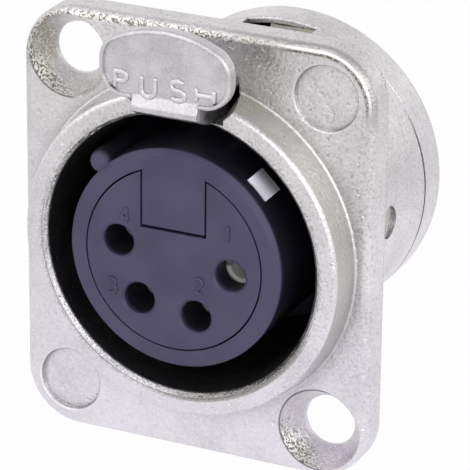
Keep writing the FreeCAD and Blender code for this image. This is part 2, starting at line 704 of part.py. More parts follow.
# Ground strip: a spring bow in the sleeve's groove, and a tail with an eye behind.
def make_ground_contact():
    body = new_body("ground_contact")
    inner = size("insert_radius") - size("strip_groove") + fit
    thick = size("strip")
    crest = size("insert_radius") + size("strip_bow") - thick
    top = strip_tip + size("strip_ramp")
    down = top + size("strip_crest")
    foot = down + size("strip_run")
    end = rear_face + size("strip_tail")
    sketch = new_sketch(body, "XY_Plane", "strip")
    outline(sketch, [
        (inner, end), (inner, foot), (crest, down), (crest, top), (inner, strip_tip),
        (inner + thick, strip_tip), (crest + thick, top), (crest + thick, down),
        (inner + thick, foot), (inner + thick, end)])
    prism(body, "Pad", sketch, size("strip_width"), both=True)
    half = size("strip_width") / 2

    def tail_corner(edge):
        box = edge.BoundBox
        return box.XLength > thick.number / 2 and flat_at(edge, "y", end.number) and box.ZLength < SLACK

    dress(body, "Fillet", "tail_round", size("strip_end"), tail_corner)
    sketch = new_sketch(body, "YZ_Plane", "eye", inner - spare)
    circles(sketch, [(end - half, 0)], size("strip_eye"))
    prism(body, "Pocket", sketch, thick + spare * 2, reverse=True)
    body.Placement.Rotation = FreeCAD.Rotation(FreeCAD.Vector(0, 1, 0), 0)
    body.setExpression("Placement.Rotation.Axis.y", "1")
    body.setExpression("Placement.Rotation.Angle", f"0 - {size('strip_angle').formula}")
    return body


def tab_outline(inset, bottom):
    """The push tab's oval: a flat foot, round corners and a crowned top."""
    half = size("tab_width") / 2 - inset
    foot = size("tab_corner") - inset
    shoulder = size("tab_shoulder") - inset
    crown = size("tab_crown") - inset
    centre_z = tab_top - size("tab_crown")
    shoulder_x = half - shoulder
    shoulder_z = centre_z + root((crown - shoulder) * (crown - shoulder) - shoulder_x * shoulder_x)
    reach = crown / (crown - shoulder)
    join_x = shoulder_x * reach
    join_z = centre_z + (shoulder_z - centre_z) * reach
    return [(-half + foot, bottom), (half - foot, bottom, foot), (half, bottom + foot),
            (half, shoulder_z, shoulder), (join_x, join_z, crown), (-join_x, join_z, shoulder),
            (-half, shoulder_z), (-half, bottom + foot, foot)]


# Latch lever: push tab, neck, hook and pivot eye in one casting.
def make_latch_lever():
    body = new_body("latch_lever")
    sketch = new_sketch(body, "XZ_Plane", "tab", -tab_rear)
    outline(sketch, tab_outline(as_term(0), tab_bottom))
    prism(body, "Pad", sketch, size("tab_thickness"))
    front, rear = tab_front.number, tab_rear.number
    dress(body, "Fillet", "tab_edges", size("tab_edge"),
          lambda e: flat_at(e, "y", front) or flat_at(e, "y", rear))
    sketch = new_sketch(body, "XZ_Plane", "dish", -(tab_front + size("tab_dish")))
    dish_foot = tab_bottom + size("tab_bead")
    outline(sketch, tab_outline(size("tab_bead"), dish_foot))
    prism(body, "Pocket", sketch, size("tab_dish") + spare, reverse=True)

    under = shelf + size("neck_gap")
    eye = size("pin_radius") + size("pin_fit")
    eye_bottom = pivot_z - eye - size("eye_under")
    eye_top = pivot_z + eye + size("eye_over")
    lip = tab_bottom - size("lip_drop")
    overlap = size("overlap")
    across(body, "Pad", "neck", [
        (tab_front, lip),
        (tab_front + size("lip_run"), lip - size("lip_fall")),
        (tab_front + size("neck_land"), under),
        (pivot_y - size("eye_reach"), under),
        (pivot_y - size("eye_foot"), eye_bottom),
        (pivot_y + size("eye_foot"), eye_bottom),
        (pivot_y + size("eye_reach"), pivot_z - size("tail_under")),
        (tail_end, pivot_z - size("tail_under")),
        (tail_end, pivot_z + size("tail_over")),
        (pivot_y + size("eye_reach"), eye_top),
        (pivot_y - size("neck_run"), eye_top),
        (mouth_front, eye_top + size("neck_rise")),
        (tab_rear, tab_bottom + size("neck_root")),
        (tab_rear - overlap, tab_bottom + size("neck_root")),
        (tab_front + size("tab_dish") + overlap, tab_bottom + overlap),
        (tab_front, tab_bottom + overlap)], size("neck_width"))
    # The dish runs out over the lip, so that the bead is open there.
    dish_floor = tab_front + size("tab_dish")
    across(body, "Pocket", "lip_face", [
        (tab_front - spare, lip + size("lip_edge")),
        (tab_front, lip + size("lip_edge")),
        (dish_floor, dish_foot),
        (dish_floor, dish_foot + overlap),
        (tab_front - spare, dish_foot + overlap)], size("neck_width"))
    hook_tip = size("bore_radius") - size("hook_reach")
    hook_y = pivot_y - size("hook_ahead")
    across(body, "Pad", "hook", [
        (hook_y - size("hook_ramp"), under + overlap),
        (hook_y, hook_tip),
        (hook_y + size("hook_flat"), hook_tip),
        (hook_y + size("hook_flat") + size("hook_rear"), under + overlap)], size("hook_width"))
    sketch = new_sketch(body, "YZ_Plane", "eye")
    circles(sketch, [(pivot_y, pivot_z)], eye)
    prism(body, "Pocket", sketch, size("neck_width") + spare, both=True)
    return body


# Pivot pin of the latch lever.
def make_latch_pivot_pin():
    body = new_body("latch_pivot_pin")
    sketch = new_sketch(body, "YZ_Plane", "pin")
    circles(sketch, [(pivot_y, pivot_z)], size("pin_radius"))
    prism(body, "Pad", sketch, size("pin_length"), both=True)
    return body


# Leaf spring: riveted on the rear insert's rib, it lifts the lever's tail.
def make_latch_spring():
    body = new_body("latch_spring")
    low, high = leaf_low, leaf_low + size("leaf")
    tip = tail_end - size("leaf_touch")
    foot = tail_end + size("leaf_ramp")
    end = barrel_end - fit
    under = pivot_z - size("tail_under") - size("press") * 2
    across(body, "Pad", "leaf", [
        (tip, under - size("leaf")),
        (tail_end, under - size("leaf")),
        (foot, low),
        (end, low),
        (end, high + size("leaf_lift")),
        (end - size("leaf"), high + size("leaf_lift")),
        (end - size("leaf"), high),
        (foot, high),
        (tail_end, under),
        (tip, under)], size("leaf_width"))
    left = -size("leaf_width") / 2
    sketch = new_sketch(body, "XZ_Plane", "notch", -(end + spare))
    outline(sketch, [(left - spare, high), (left + size("leaf_notch"), high),
                     (left + size("leaf_notch"), high + size("leaf_lift") + spare),
                     (left - spare, high + size("leaf_lift") + spare)])
    prism(body, "Pocket", sketch, spare * 2, reverse=True)
    sketch = new_sketch(body, "XY_Plane", "rivet_hole", low - spare)
    circles(sketch, [(0, rivet_y)], size("rivet_radius") + size("press"))
    prism(body, "Pocket", sketch, size("leaf") + spare * 2, reverse=True)
    return body


# Rivet of the leaf spring.
def make_spring_rivet():
    body = new_body("spring_rivet")
    base = leaf_low + size("leaf") + size("press")
    sketch = new_sketch(body, "XY_Plane", "shank", rib_top - size("rivet_depth"))
    circles(sketch, [(0, rivet_y)], size("rivet_radius"))
    prism(body, "Pad", sketch, size("rivet_depth") + base - rib_top + size("press"))
    sketch = new_sketch(body, "XY_Plane", "head", base)
    circles(sketch, [(0, rivet_y)], size("rivet_head"))
    prism(body, "Pad", sketch, size("rivet_head_height"))
    top = (base + size("rivet_head_height")).number
    dress(body, "Fillet", "head_edge", size("rivet_rounding"), lambda e: flat_at(e, "z", top))
    return body


bodies = [make_housing(), make_rear_ring(), make_insert_sleeve(), make_insert_core(), make_insert_rear()]
bodies += [make_contact(number) for number in CONTACTS]
bodies += [make_ground_contact(), make_latch_lever(), make_latch_pivot_pin(), make_latch_spring()]
bodies += [make_spring_rivet()]

doc.recompute()
for item in doc.Objects:
    if "Invalid" in item.State or "Error" in item.State:
        raise RuntimeError(f"{item.Label} did not compute: {item.State}")
for body in bodies:
    if body.Shape.isNull() or not body.Shape.isValid() or len(body.Shape.Solids) != 1:
        raise RuntimeError(f"{body.Label} is not one valid solid")
    body.Shape.exportStep(f"parts/{body.Label}.step")
    box = body.Shape.BoundBox
    print(f"{body.Label}: {body.Shape.Volume:.1f} mm3, x {box.XMin:.2f}..{box.XMax:.2f}, "
          f"y {box.YMin:.2f}..{box.YMax:.2f}, z {box.ZMin:.2f}..{box.ZMax:.2f}")
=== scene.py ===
import json
import logging
import math
from dataclasses import dataclass
from enum import Enum
from functools import cached_property
from typing import Protocol

import bpy
import numpy as np
from mathutils import Matrix

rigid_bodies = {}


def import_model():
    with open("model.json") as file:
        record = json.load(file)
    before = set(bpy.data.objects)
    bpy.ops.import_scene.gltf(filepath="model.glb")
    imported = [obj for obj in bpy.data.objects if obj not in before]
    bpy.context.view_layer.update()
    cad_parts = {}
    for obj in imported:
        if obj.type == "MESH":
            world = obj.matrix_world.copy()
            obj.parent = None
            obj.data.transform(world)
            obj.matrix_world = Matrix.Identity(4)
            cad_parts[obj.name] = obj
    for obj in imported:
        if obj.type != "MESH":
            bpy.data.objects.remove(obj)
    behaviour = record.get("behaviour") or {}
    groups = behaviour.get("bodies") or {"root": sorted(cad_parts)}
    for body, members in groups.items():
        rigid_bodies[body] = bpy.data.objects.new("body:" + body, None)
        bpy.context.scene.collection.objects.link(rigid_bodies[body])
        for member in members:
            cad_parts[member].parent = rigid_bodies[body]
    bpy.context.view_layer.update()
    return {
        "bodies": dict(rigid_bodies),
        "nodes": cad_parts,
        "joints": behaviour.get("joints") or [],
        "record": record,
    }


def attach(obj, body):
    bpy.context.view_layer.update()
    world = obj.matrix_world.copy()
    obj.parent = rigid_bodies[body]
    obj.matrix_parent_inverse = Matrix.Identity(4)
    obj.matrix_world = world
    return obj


# Looks of a four-contact chassis socket. Metres, in the frame of the solids: the origin is where
# the mouth's axis meets the flange's rear face, -Y points out of the mouth and +Z to the push tab.
# A name that ends in _mm is in millimetres. A share is 0 for none and 1 for all.

MM = 0.001
log = logging.getLogger("socket")

Array = np.ndarray
Colour = tuple[float, float, float]
Spot = tuple[float, float]
Mesh = tuple[Array, list[Array]]
Output = bpy.types.NodeSocket
Material = bpy.types.Material
Entry = Output | float
Tone = Output | Colour

WHITE: Colour = (1.0, 1.0, 1.0)
BLACK: Colour = (0.0, 0.0, 0.0)
# Black of painted shade: dark shade lines at edges and the shade in the lever's slot.
SHADE_BLACK: Colour = (0.02, 0.02, 0.02)
CAST_SHADE: Colour = (0.36, 0.35, 0.32)


class Body(Enum):
    """The two bodies of the joint tree."""

    SOCKET = "socket"
    LATCH = "latch"


class Slot(Enum):
    """The record's material slots, one named for each new piece; seat does not use them."""

    LATCH = "latch"
    INSERT = "insert"


# ---------------- shader graphs


@dataclass(frozen=True)
class Ramp:
    """A smooth step: the result is low up to the start and high from the stop on."""

    start: float
    stop: float
    low: float = 0.0
    high: float = 1.0


def falling(start: float, stop: float, share: float = 1.0) -> Ramp:
    """A ramp that comes down from a share to nothing."""
    return Ramp(start, stop, share, 0.0)


@dataclass(frozen=True)
class Stripe:
    """A thin line at one value: full within half its width, and gone a soft border further out."""

    at: float
    half: float
    soft: float


class Graph:
    """A thin hand over one node tree: makes nodes, sets plain numbers, joins sockets."""

    def __init__(self, owner: bpy.types.ID) -> None:
        """Switch the owner's nodes on and empty its tree.

        Args:
            owner: a material or the world.
        """
        owner.use_nodes = True
        self.tree = owner.node_tree
        self.tree.nodes.clear()

    def node(self, kind: str, inputs: dict | None = None, **settings: object) -> bpy.types.Node:
        """Make one node.

        Args:
            kind: Blender's node type.
            inputs: socket, by name or number, to a plain value or to another node's output.
            settings: properties of the node.

        Returns:
            The new node.
        """
        made = self.tree.nodes.new(kind)
        for name, value in settings.items():
            setattr(made, name, value)
        for name, value in (inputs or {}).items():
            if isinstance(value, Output):
                self.tree.links.new(value, made.inputs[name])
            else:
                made.inputs[name].default_value = value
        return made

    def math(self, operation: str, first: Entry, second: Entry = 0.0) -> Output:
        """One step of arithmetic."""
        return self.node("ShaderNodeMath", {0: first, 1: second}, operation=operation).outputs[0]

    def product(self, *shares: Entry) -> Output:
        """All the shares times one another."""
        whole = shares[0]
        for share in shares[1:]:
            whole = self.math("MULTIPLY", whole, share)
        return whole

    def length(self, first: Output, second: Output) -> Output:
        """The root of the sum of two squares."""
        return self.math("SQRT", self.math("ADD", self.product(first, first), self.product(second, second)))

    def apart(self, first: Output, second: Output, spot: Spot) -> Output:
        """The distance of two coordinates from a spot."""
        return self.length(self.math("SUBTRACT", first, spot[0]), self.math("SUBTRACT", second, spot[1]))

    def ramp(self, value: Output, step: Ramp) -> Output:
        """Map a value through a smooth step."""
        ends = {"From Min": step.start, "From Max": step.stop, "To Min": step.low, "To Max": step.high}
        made = self.node("ShaderNodeMapRange", {"Value": value, **ends}, interpolation_type="SMOOTHSTEP")
        return made.outputs[0]

    def stripe(self, value: Output, line: Stripe) -> Output:
        """1 where a value lies on the line, 0 off it."""
        off = self.math("ABSOLUTE", self.math("SUBTRACT", value, line.at))
        return self.ramp(off, falling(line.half, line.half + line.soft))

    def millimetres(self, place: Output) -> list[Output]:
        """The place's x, y and z in millimetres."""
        grown = self.node("ShaderNodeVectorMath", {0: place, "Scale": 1.0 / MM}, operation="SCALE")
        return list(self.node("ShaderNodeSeparateXYZ", {"Vector": grown.outputs[0]}).outputs)

    def noise(self, place: Output, grain_mm: float, detail: float) -> Output:
        """Noise whose grains are about so many millimetres across."""
        inputs = {"Vector": place, "Scale": 1.0 / (grain_mm * MM), "Detail": detail}
        return self.node("ShaderNodeTexNoise", inputs).outputs["Fac"]

    def mix(self, share: Entry, first: Tone, second: Tone) -> Output:
        """Mix two colours: the first at a share of 0, the second at 1."""
        first, second = (tone if isinstance(tone, Output) else (*tone, 1.0) for tone in (first, second))
        return self.node("ShaderNodeMix", {0: share, 6: first, 7: second}, data_type="RGBA").outputs[2]


# ---------------- finishes in the making

NOISE_LOW, NOISE_HIGH = 0.3, 0.7    # noise lies mostly between these
EDGE_TURN = falling(0.80, 0.99)     # from the cosine of a rounded normal's turn to an edge's share
BEVEL_SAMPLES = 4
HOLLOW_SHADE_SAMPLES = 6


@dataclass(frozen=True)
class Flecks:
    """Noise cut into flecks: their size, how ragged they are and the step that cuts them."""

    grain_mm: float
    detail: float
    cut: Ramp


def toned(colour: Colour, factor: float, lift: float = 0.0) -> Colour:
    """A colour times a factor plus a lift, no brighter than white."""
    return tuple(min(1.0, factor * part + lift) for part in colour)


class Coat(Graph):
    """A finish in the making: where its points lie, and its colour, metal share and roughness so far."""

    def __init__(self, name: str, metallic: float = 1.0) -> None:
        """Start an empty material.

        Args:
            name: the material's name.
            metallic: its metal share.
        """
        self.material = bpy.data.materials.new(name)
        super().__init__(self.material)
        self.place = self.node("ShaderNodeTexCoord").outputs["Object"]
        self.metallic: Entry = metallic
        self.colour: Output | None = None
        self.rough: Output | None = None
        self.grain: Output | None = None

    @cached_property
    def place_mm(self) -> list[Output]:
        """Each point's x, y and z in millimetres."""
        return self.millimetres(self.place)

    @cached_property
    def from_axis(self) -> Output:
        """Distance from the mouth's axis in millimetres: the root of x squared plus z squared."""
        across, _, up = self.place_mm
        return self.length(across, up)

    def where(self, x: Ramp | None = None, y: Ramp | None = None, z: Ramp | None = None) -> Output:
        """The product of the ramps that are given, each read at its own coordinate in millimetres."""
        steps = zip(self.place_mm, (x, y, z))
        return self.product(*(self.ramp(place, step) for place, step in steps if step))

    def flecks(self, kind: Flecks, scale: float = 1.0) -> Output:
        """Where flecks lie.

        Args:
            kind: the flecks.
            scale: by how much they are larger than written.

        Returns:
            Their share at each point.
        """
        return self.ramp(self.noise(self.place, kind.grain_mm * scale, kind.detail), kind.cut)

    def rounded(self, radius_mm: float) -> tuple[Output, Output]:
        """Soften the edges.

        Args:
            radius_mm: how far from an edge the rounding reaches.

        Returns:
            The rounded normal, and the share by which a point lies on an edge: there the rounded
            normal turns away from the face's own.
        """
        bevel = self.node("ShaderNodeBevel", {"Radius": radius_mm * MM}, samples=BEVEL_SAMPLES)
        normal = bevel.outputs[0]
        own = self.node("ShaderNodeNewGeometry").outputs["True Normal"]
        facing = self.node("ShaderNodeVectorMath", {0: normal, 1: own}, operation="DOT_PRODUCT")
        return normal, self.ramp(facing.outputs["Value"], EDGE_TURN)

    def paint(self, tone: Tone, *shares: Entry) -> None:
        """Lay a tone over the colour.

        Args:
            tone: the tone.
            shares: how much of it covers the colour, as their product.
        """
        self.colour = self.mix(self.product(*shares), self.colour, tone)

    def roughen(self, share: Output, more: float) -> None:
        """Make the finish rougher by a number, or smoother by one below zero, where the share is 1."""
        self.rough = self.math("ADD", self.rough, self.product(share, more))

    def finish(self, relief: Output, strength: float, height_mm: float,
               normal: Output | None = None) -> Material:
        """Join the coat to its shader.

        Args:
            relief: the fine relief's height at each point.
            strength: how much of it tells.
            height_mm: how high it stands.
            normal: the normal it stands on, where that isn't the mesh's own.

        Returns:
            The material.
        """
        inputs = {"Height": relief, "Strength": strength, "Distance": height_mm * MM}
        if normal is not None:
            inputs["Normal"] = normal
        bump = self.node("ShaderNodeBump", inputs)
        shader = self.node("ShaderNodeBsdfPrincipled", {
            "Base Color": self.colour, "Metallic": self.metallic, "Roughness": self.rough,
            "Normal": bump.outputs[0]})
        self.node("ShaderNodeOutputMaterial", {"Surface": shader.outputs[0]})
        return self.material


@dataclass(frozen=True)
class Speckle:
    """A rough patch's look: pale flecks on a dark ground."""

    flecks: Flecks
    dark: Colour
    pale: Colour

    def tone(self, coat: Coat) -> Output:
        """The patch's colour at each point."""
        return coat.mix(coat.flecks(self.flecks), self.dark, self.pale)


SALT = Flecks(0.15, 1.0, Ramp(0.40, 0.54))
# Speckled tones: a rough cast skin with painted sparkle, and a speckled painted shade.
ROUGHCAST_SPARKLE = Speckle(SALT, (0.17, 0.16, 0.12), (0.90, 0.89, 0.85))
SPECKLED_SHADE = Speckle(Flecks(0.13, 1.0, Ramp(0.46, 0.62)), (0.36, 0.35, 0.26), (0.80, 0.78, 0.66))


# ---------------- details of finishes


class Detail(Protocol):
    """Something that changes a finish in one place."""

    def lay_on(self, coat: Coat) -> None:
        """Change the coat there."""


@dataclass(frozen=True)
class RearJointShade:
    """Painted shade: the dark line where the ring meets the barrel, on its lower part, and the ring's black
    seat.
    """

    y_mm: float = 12.0
    line: Ramp = falling(0.07, 0.16, 0.9)
    line_lower: Ramp = falling(4.0, 8.0)
    line_shade_tone: Colour = (0.01, 0.01, 0.01)
    seat: Ramp = falling(0.02, 0.04)
    seat_inner: Ramp = falling(11.25, 11.4)

    def lay_on(self, coat: Coat) -> None:
        """Paint the line and the seat: both go by the distance from the joint's plane."""
        off = coat.math("ABSOLUTE", coat.math("SUBTRACT", coat.place_mm[1], self.y_mm))
        coat.paint(self.line_shade_tone, coat.ramp(off, self.line), coat.where(z=self.line_lower))
        coat.paint(BLACK, coat.ramp(off, self.seat), coat.ramp(coat.from_axis, self.seat_inner))


@dataclass(frozen=True)
class Dimple:
    """The cast dimple on the barrel's right side, whose tone is flat and greenish."""

    least_x_mm: float = 10.5
    place_mm: Spot = (5.6, 0.7)
    rim: Ramp = falling(0.80, 1.05, 0.8)
    tone: Colour = (0.60, 0.61, 0.56)

    def lay_on(self, coat: Coat) -> None:
        """Paint the dimple, which fades with the distance from its (y, z)."""
        across, along, up = coat.place_mm
        reach = coat.apart(along, up, self.place_mm)
        right = coat.math("GREATER_THAN", across, self.least_x_mm)
        coat.paint(self.tone, coat.ramp(reach, self.rim), right)


@dataclass(frozen=True)
class CollarShadeAndHighlights:
    """Painted shade on the collar's outer wall, and painted highlight lines at its foot and along its rim."""

    wall: Stripe = Stripe(11.75, 0.2, 0.05)
    wall_front: Ramp = Ramp(-4.5, -4.4)
    wall_back: Ramp = falling(-2.4, -2.3)
    wall_upper_right: Ramp = Ramp(0.0, 9.0, 0.15, 1.0)
    wall_shade_tone: Colour = (0.62, 0.61, 0.585)
    foot: Stripe = Stripe(11.92, 0.06, 0.04)
    foot_back: Ramp = Ramp(-2.34, -2.28, 0.0, 0.9)
    foot_upper: Ramp = Ramp(-8.0, 5.0, 0.25, 1.0)
    rim: Stripe = Stripe(11.42, 0.05, 0.04)
    rim_front: Ramp = falling(-4.5, -4.4, 0.9)
    rim_upper: Ramp = Ramp(-2.0, 5.0)
    rim_salt: Ramp = Ramp(0.0, 1.0, 0.3, 1.0)

    def lay_on(self, coat: Coat) -> None:
        """Paint the wall's shade and then both highlight lines, each a ring round the mouth's axis."""
        radius = coat.from_axis
        across, _, up = coat.place_mm
        upper_right = coat.ramp(coat.math("ADD", across, up), self.wall_upper_right)
        coat.paint(self.wall_shade_tone, coat.stripe(radius, self.wall), upper_right,
                   coat.where(y=self.wall_front), coat.where(y=self.wall_back))
        coat.paint(WHITE, coat.stripe(radius, self.foot), coat.where(y=self.foot_back, z=self.foot_upper))
        coat.paint(WHITE, coat.stripe(radius, self.rim), coat.where(y=self.rim_front, z=self.rim_upper),
                   coat.ramp(coat.flecks(SALT), self.rim_salt))


@dataclass(frozen=True)
class MouthBorder:
    """The border round the mouth: painted shade at the lower right, a dark line of painted shade, and dark
    flecks.
    """

    edge: Ramp = falling(10.5, 10.6)
    front: Ramp = falling(-2.5, -2.3)
    lower_right: Ramp = Ramp(7.0, 12.0)
    lower: Ramp = falling(-6.0, -3.0, 0.8)
    line: Stripe = Stripe(10.33, 0.02, 0.05)
    line_lower: Ramp = falling(0.0, 5.0, 0.6)
    fleck_share: Ramp = falling(0.0, 1.0, 0.35)
    fleck_tone: Colour = (0.2, 0.2, 0.17)

    def lay_on(self, coat: Coat) -> None:
        """Paint the shade, the line and the flecks, all within the border's edge."""
        radius = coat.from_axis
        across, _, up = coat.place_mm
        border = coat.product(coat.ramp(radius, self.edge), coat.where(y=self.front))
        lower_right = coat.ramp(coat.math("SUBTRACT", across, up), self.lower_right)
        salt = coat.flecks(SALT)
        coat.paint(CAST_SHADE, border, lower_right, coat.where(z=self.lower))
        coat.paint(SHADE_BLACK, border, coat.stripe(radius, self.line), salt, coat.where(z=self.line_lower))
        coat.paint(self.fleck_tone, border, coat.ramp(salt, self.fleck_share))


def from_pair(coat: Coat, place_mm: Spot) -> tuple[Output, Output, Output]:
    """Where a point lies from one of two features at (x, z) and (-x, -z), the one on its own side.

    Args:
        coat: the finish.
        place_mm: x and z of the feature on the right.

    Returns:
        How far the point lies to the feature's right and above it, and the sign of the side.
    """
    across, _, up = coat.place_mm
    side = coat.math("SIGN", across)
    x, z = place_mm
    right = coat.math("SUBTRACT", across, coat.product(side, x))
    above = coat.math("SUBTRACT", up, coat.product(side, z))
    return right, above, side


@dataclass(frozen=True)
class ScrewCones:
    """The flange's countersinks: painted shade inside and speckled on the left, ragged with painted sparkle
    at the lower left.
    """

    place_mm: Spot = (9.5, -12.0)
    edge: Ramp = falling(2.91, 2.97)
    front: Ramp = falling(-0.5, -0.3)
    shade_share: float = 0.20
    left: Ramp = falling(-3.4, -2.6, 0.7)
    left_lean_mm: float = 1.2
    lower_left: Ramp = falling(-3.9, -2.0, 0.9)
    ragged: Ramp = Ramp(2.0, 2.5)
    ragged_lean_mm: float = 0.15
    line: Stripe = Stripe(2.98, 0.03, 0.05)
    line_left: Ramp = falling(0.2, 1.0, 0.7)

    def lay_on(self, coat: Coat) -> None:
        """Paint shade, patches of painted shade and sparkle, and a dark line of painted shade: both cones at
        once, told apart by a lean.
        """
        right, above, side = from_pair(coat, self.place_mm)
        reach = coat.length(right, above)
        front = coat.where(y=self.front)
        inside = coat.product(front, coat.ramp(reach, self.edge))
        left = coat.ramp(coat.math("ADD", right, coat.product(side, self.left_lean_mm)), self.left)
        lower_left = coat.ramp(coat.math("ADD", right, above), self.lower_left)
        uneven = coat.math("ADD", reach, coat.product(side, self.ragged_lean_mm))
        coat.paint(CAST_SHADE, inside, self.shade_share)
        coat.paint(SPECKLED_SHADE.tone(coat), inside, left)
        coat.paint(ROUGHCAST_SPARKLE.tone(coat), inside, coat.ramp(uneven, self.ragged), lower_left)
        coat.paint(SHADE_BLACK, coat.stripe(reach, self.line), coat.ramp(right, self.line_left), front)


@dataclass(frozen=True)
class RecessRims:
    """The rims of the flange's shallow round recesses: a painted highlight at the lower left, painted shade
    at the upper right.
    """

    place_mm: Spot = (9.5, 12.0)
    front: Ramp = falling(-0.5, -0.3)
    edge_highlight: Stripe = Stripe(2.36, 0.05, 0.05)
    edge_highlight_lower_left: Ramp = Ramp(-2.6, -1.2, 1.0, 0.25)
    dark: Stripe = Stripe(2.26, 0.03, 0.05)
    shade_upper_right: Ramp = Ramp(-1.0, 1.0, 0.15, 0.6)
    shade_tone: Colour = (0.2, 0.2, 0.2)

    def lay_on(self, coat: Coat) -> None:
        """Paint both lines, one just outside the rim and one just inside it."""
        right, above, _ = from_pair(coat, self.place_mm)
        reach, slant = coat.length(right, above), coat.math("ADD", right, above)
        front = coat.where(y=self.front)
        coat.paint(WHITE, coat.stripe(reach, self.edge_highlight), coat.ramp(slant, self.edge_highlight_lower_left), front)
        coat.paint(self.shade_tone, coat.stripe(reach, self.dark),
                   coat.ramp(slant, self.shade_upper_right), front)


@dataclass(frozen=True)
class FlangeTop:
    """The flange's top edge, rough as cast with painted sparkle, and painted highlight and shade lines round
    its upper right corner.
    """

    corner_mm: Spot = (9.0, 11.5)
    edge: Ramp = Ramp(3.25, 3.4, 0.0, 0.85)
    edge_front: Ramp = falling(-2.12, -1.88)
    edge_left: Ramp = Ramp(5.5, 9.0, 1.0, 0.15)
    edge_upper: Ramp = Ramp(10.0, 12.5)
    bend: Stripe = Stripe(3.7, 0.35, 0.1)
    bend_front: Ramp = falling(-1.8, -1.55)
    bend_right: Ramp = Ramp(0.0, 6.0, 0.0, 0.65)
    bend_upper: Ramp = Ramp(9.5, 12.0)
    bend_shade_tone: Colour = (0.45, 0.44, 0.43)
    corner_right: Ramp = Ramp(5.0, 7.5)
    corner_upper: Ramp = Ramp(10.8, 12.0)
    edge_highlight: Stripe = Stripe(3.62, 0.05, 0.05)
    dark: Stripe = Stripe(3.42, 0.04, 0.06)
    shade_tone: Colour = (0.16, 0.15, 0.11)

    def lay_on(self, coat: Coat) -> None:
        """Paint the edge, the painted shade on the bend behind it, and the corner's painted highlight and
        shade lines.

        All go by how far a point lies out from the rectangle whose corners are the middles of the
        flange's round corners: the root of the sum of both overhangs' squares.
        """
        across, _, up = coat.place_mm
        x, z = self.corner_mm
        over_x = coat.math("MAXIMUM", coat.math("SUBTRACT", coat.math("ABSOLUTE", across), x), 0.0)
        over_z = coat.math("MAXIMUM", coat.math("SUBTRACT", up, z), 0.0)
        out = coat.length(over_x, over_z)
        corner = coat.where(x=self.corner_right, z=self.corner_upper)
        coat.paint(ROUGHCAST_SPARKLE.tone(coat), coat.ramp(out, self.edge),
                   coat.where(self.edge_left, self.edge_front, self.edge_upper))
        coat.paint(self.bend_shade_tone, coat.stripe(out, self.bend),
                   coat.where(self.bend_right, self.bend_front, self.bend_upper))
        coat.paint(WHITE, coat.stripe(out, self.edge_highlight), corner)
        coat.paint(self.shade_tone, coat.stripe(out, self.dark), corner, coat.flecks(SALT))


@dataclass(frozen=True)
class TabShadowPatch:
    """The tab's painted shadow: a speckled patch on the flange's front, to the right of the tab."""

    place_mm: Spot = (4.7, 13.0)
    reach: Ramp = falling(0.8, 3.0, 0.8)
    front: Ramp = falling(-2.3, -2.1)

    def lay_on(self, coat: Coat) -> None:
        """Paint the patch, which fades with the distance from its (x, z)."""
        across, _, up = coat.place_mm
        reach = coat.apart(across, up, self.place_mm)
        coat.paint(SPECKLED_SHADE.tone(coat), coat.ramp(reach, self.reach), coat.where(y=self.front))


@dataclass(frozen=True)
class BoreShade:
    """Painted shade in the bore behind the mouth: black, rougher and with no metal share."""

    wall: Ramp = falling(9.98, 10.04)
    mouth: Ramp = Ramp(-4.44, -4.32)
    uneven_mm: float = 0.12
    grain_middle: float = 0.5
    tone: Colour = (0.006, 0.006, 0.008)
    rougher: float = 0.25

    def lay_on(self, coat: Coat) -> None:
        """Darken what lies nearer the axis than the wall and behind the mouth, with an uneven border."""
        uneven = coat.product(coat.math("SUBTRACT", coat.grain, self.grain_middle), self.uneven_mm)
        radius = coat.math("ADD", coat.from_axis, uneven)
        inside = coat.product(coat.ramp(radius, self.wall), coat.where(y=self.mouth))
        coat.paint(self.tone, inside)
        coat.metallic = coat.math("SUBTRACT", coat.metallic, inside)
        coat.roughen(inside, self.rougher)


@dataclass(frozen=True)
class LeverShade:
    """Shade on the lever: low on its right side behind the tab, and on what lies in the slot."""

    side: Ramp = Ramp(2.25, 2.4, 0.0, 0.55)
    side_back: Ramp = Ramp(-6.6, -6.3)
    side_lower: Ramp = falling(11.5, 12.0)
    side_tone: Colour = (0.2, 0.2, 0.22)
    slot_front: Ramp = Ramp(-2.6, -1.8, 0.0, 0.92)
    slot_back: Ramp = falling(1.0, 3.0)

    def lay_on(self, coat: Coat) -> None:
        """Paint the side's shade and then the slot's."""
        coat.paint(self.side_tone, coat.where(self.side, self.side_back, self.side_lower))
        coat.paint(SHADE_BLACK, coat.where(y=self.slot_front), coat.where(y=self.slot_back))


@dataclass(frozen=True)
class StripShade:
    """The ground strip's dark run in the bore: it is lit at its front end and again behind the barrel."""

    front: Ramp = Ramp(-4.05, -3.92)
    fading: Ramp = Ramp(-3.9, -3.3, 1.0, 0.12)
    behind: Ramp = Ramp(9.0, 10.0)
    tone: Colour = (0.015, 0.015, 0.018)

    def lay_on(self, coat: Coat) -> None:
        """Darken the strip between its lit ends."""
        lit_front = coat.product(coat.where(y=self.front), coat.where(y=self.fading))
        lit = coat.math("MAXIMUM", lit_front, coat.where(y=self.behind))
        coat.colour = coat.mix(lit, self.tone, coat.colour)


@dataclass(frozen=True)
class LeafShade:
    """The black left part of the leaf spring's upturned end."""

    left: Ramp = falling(-1.7, -1.5, 0.97)
    upturned: Ramp = Ramp(11.4, 11.6)
    tone: Colour = (0.004, 0.004, 0.004)

    def lay_on(self, coat: Coat) -> None:
        """Blacken what lies left of the border on the upturned end."""
        coat.paint(self.tone, coat.where(x=self.left, y=self.upturned))


# ---------------- finishes


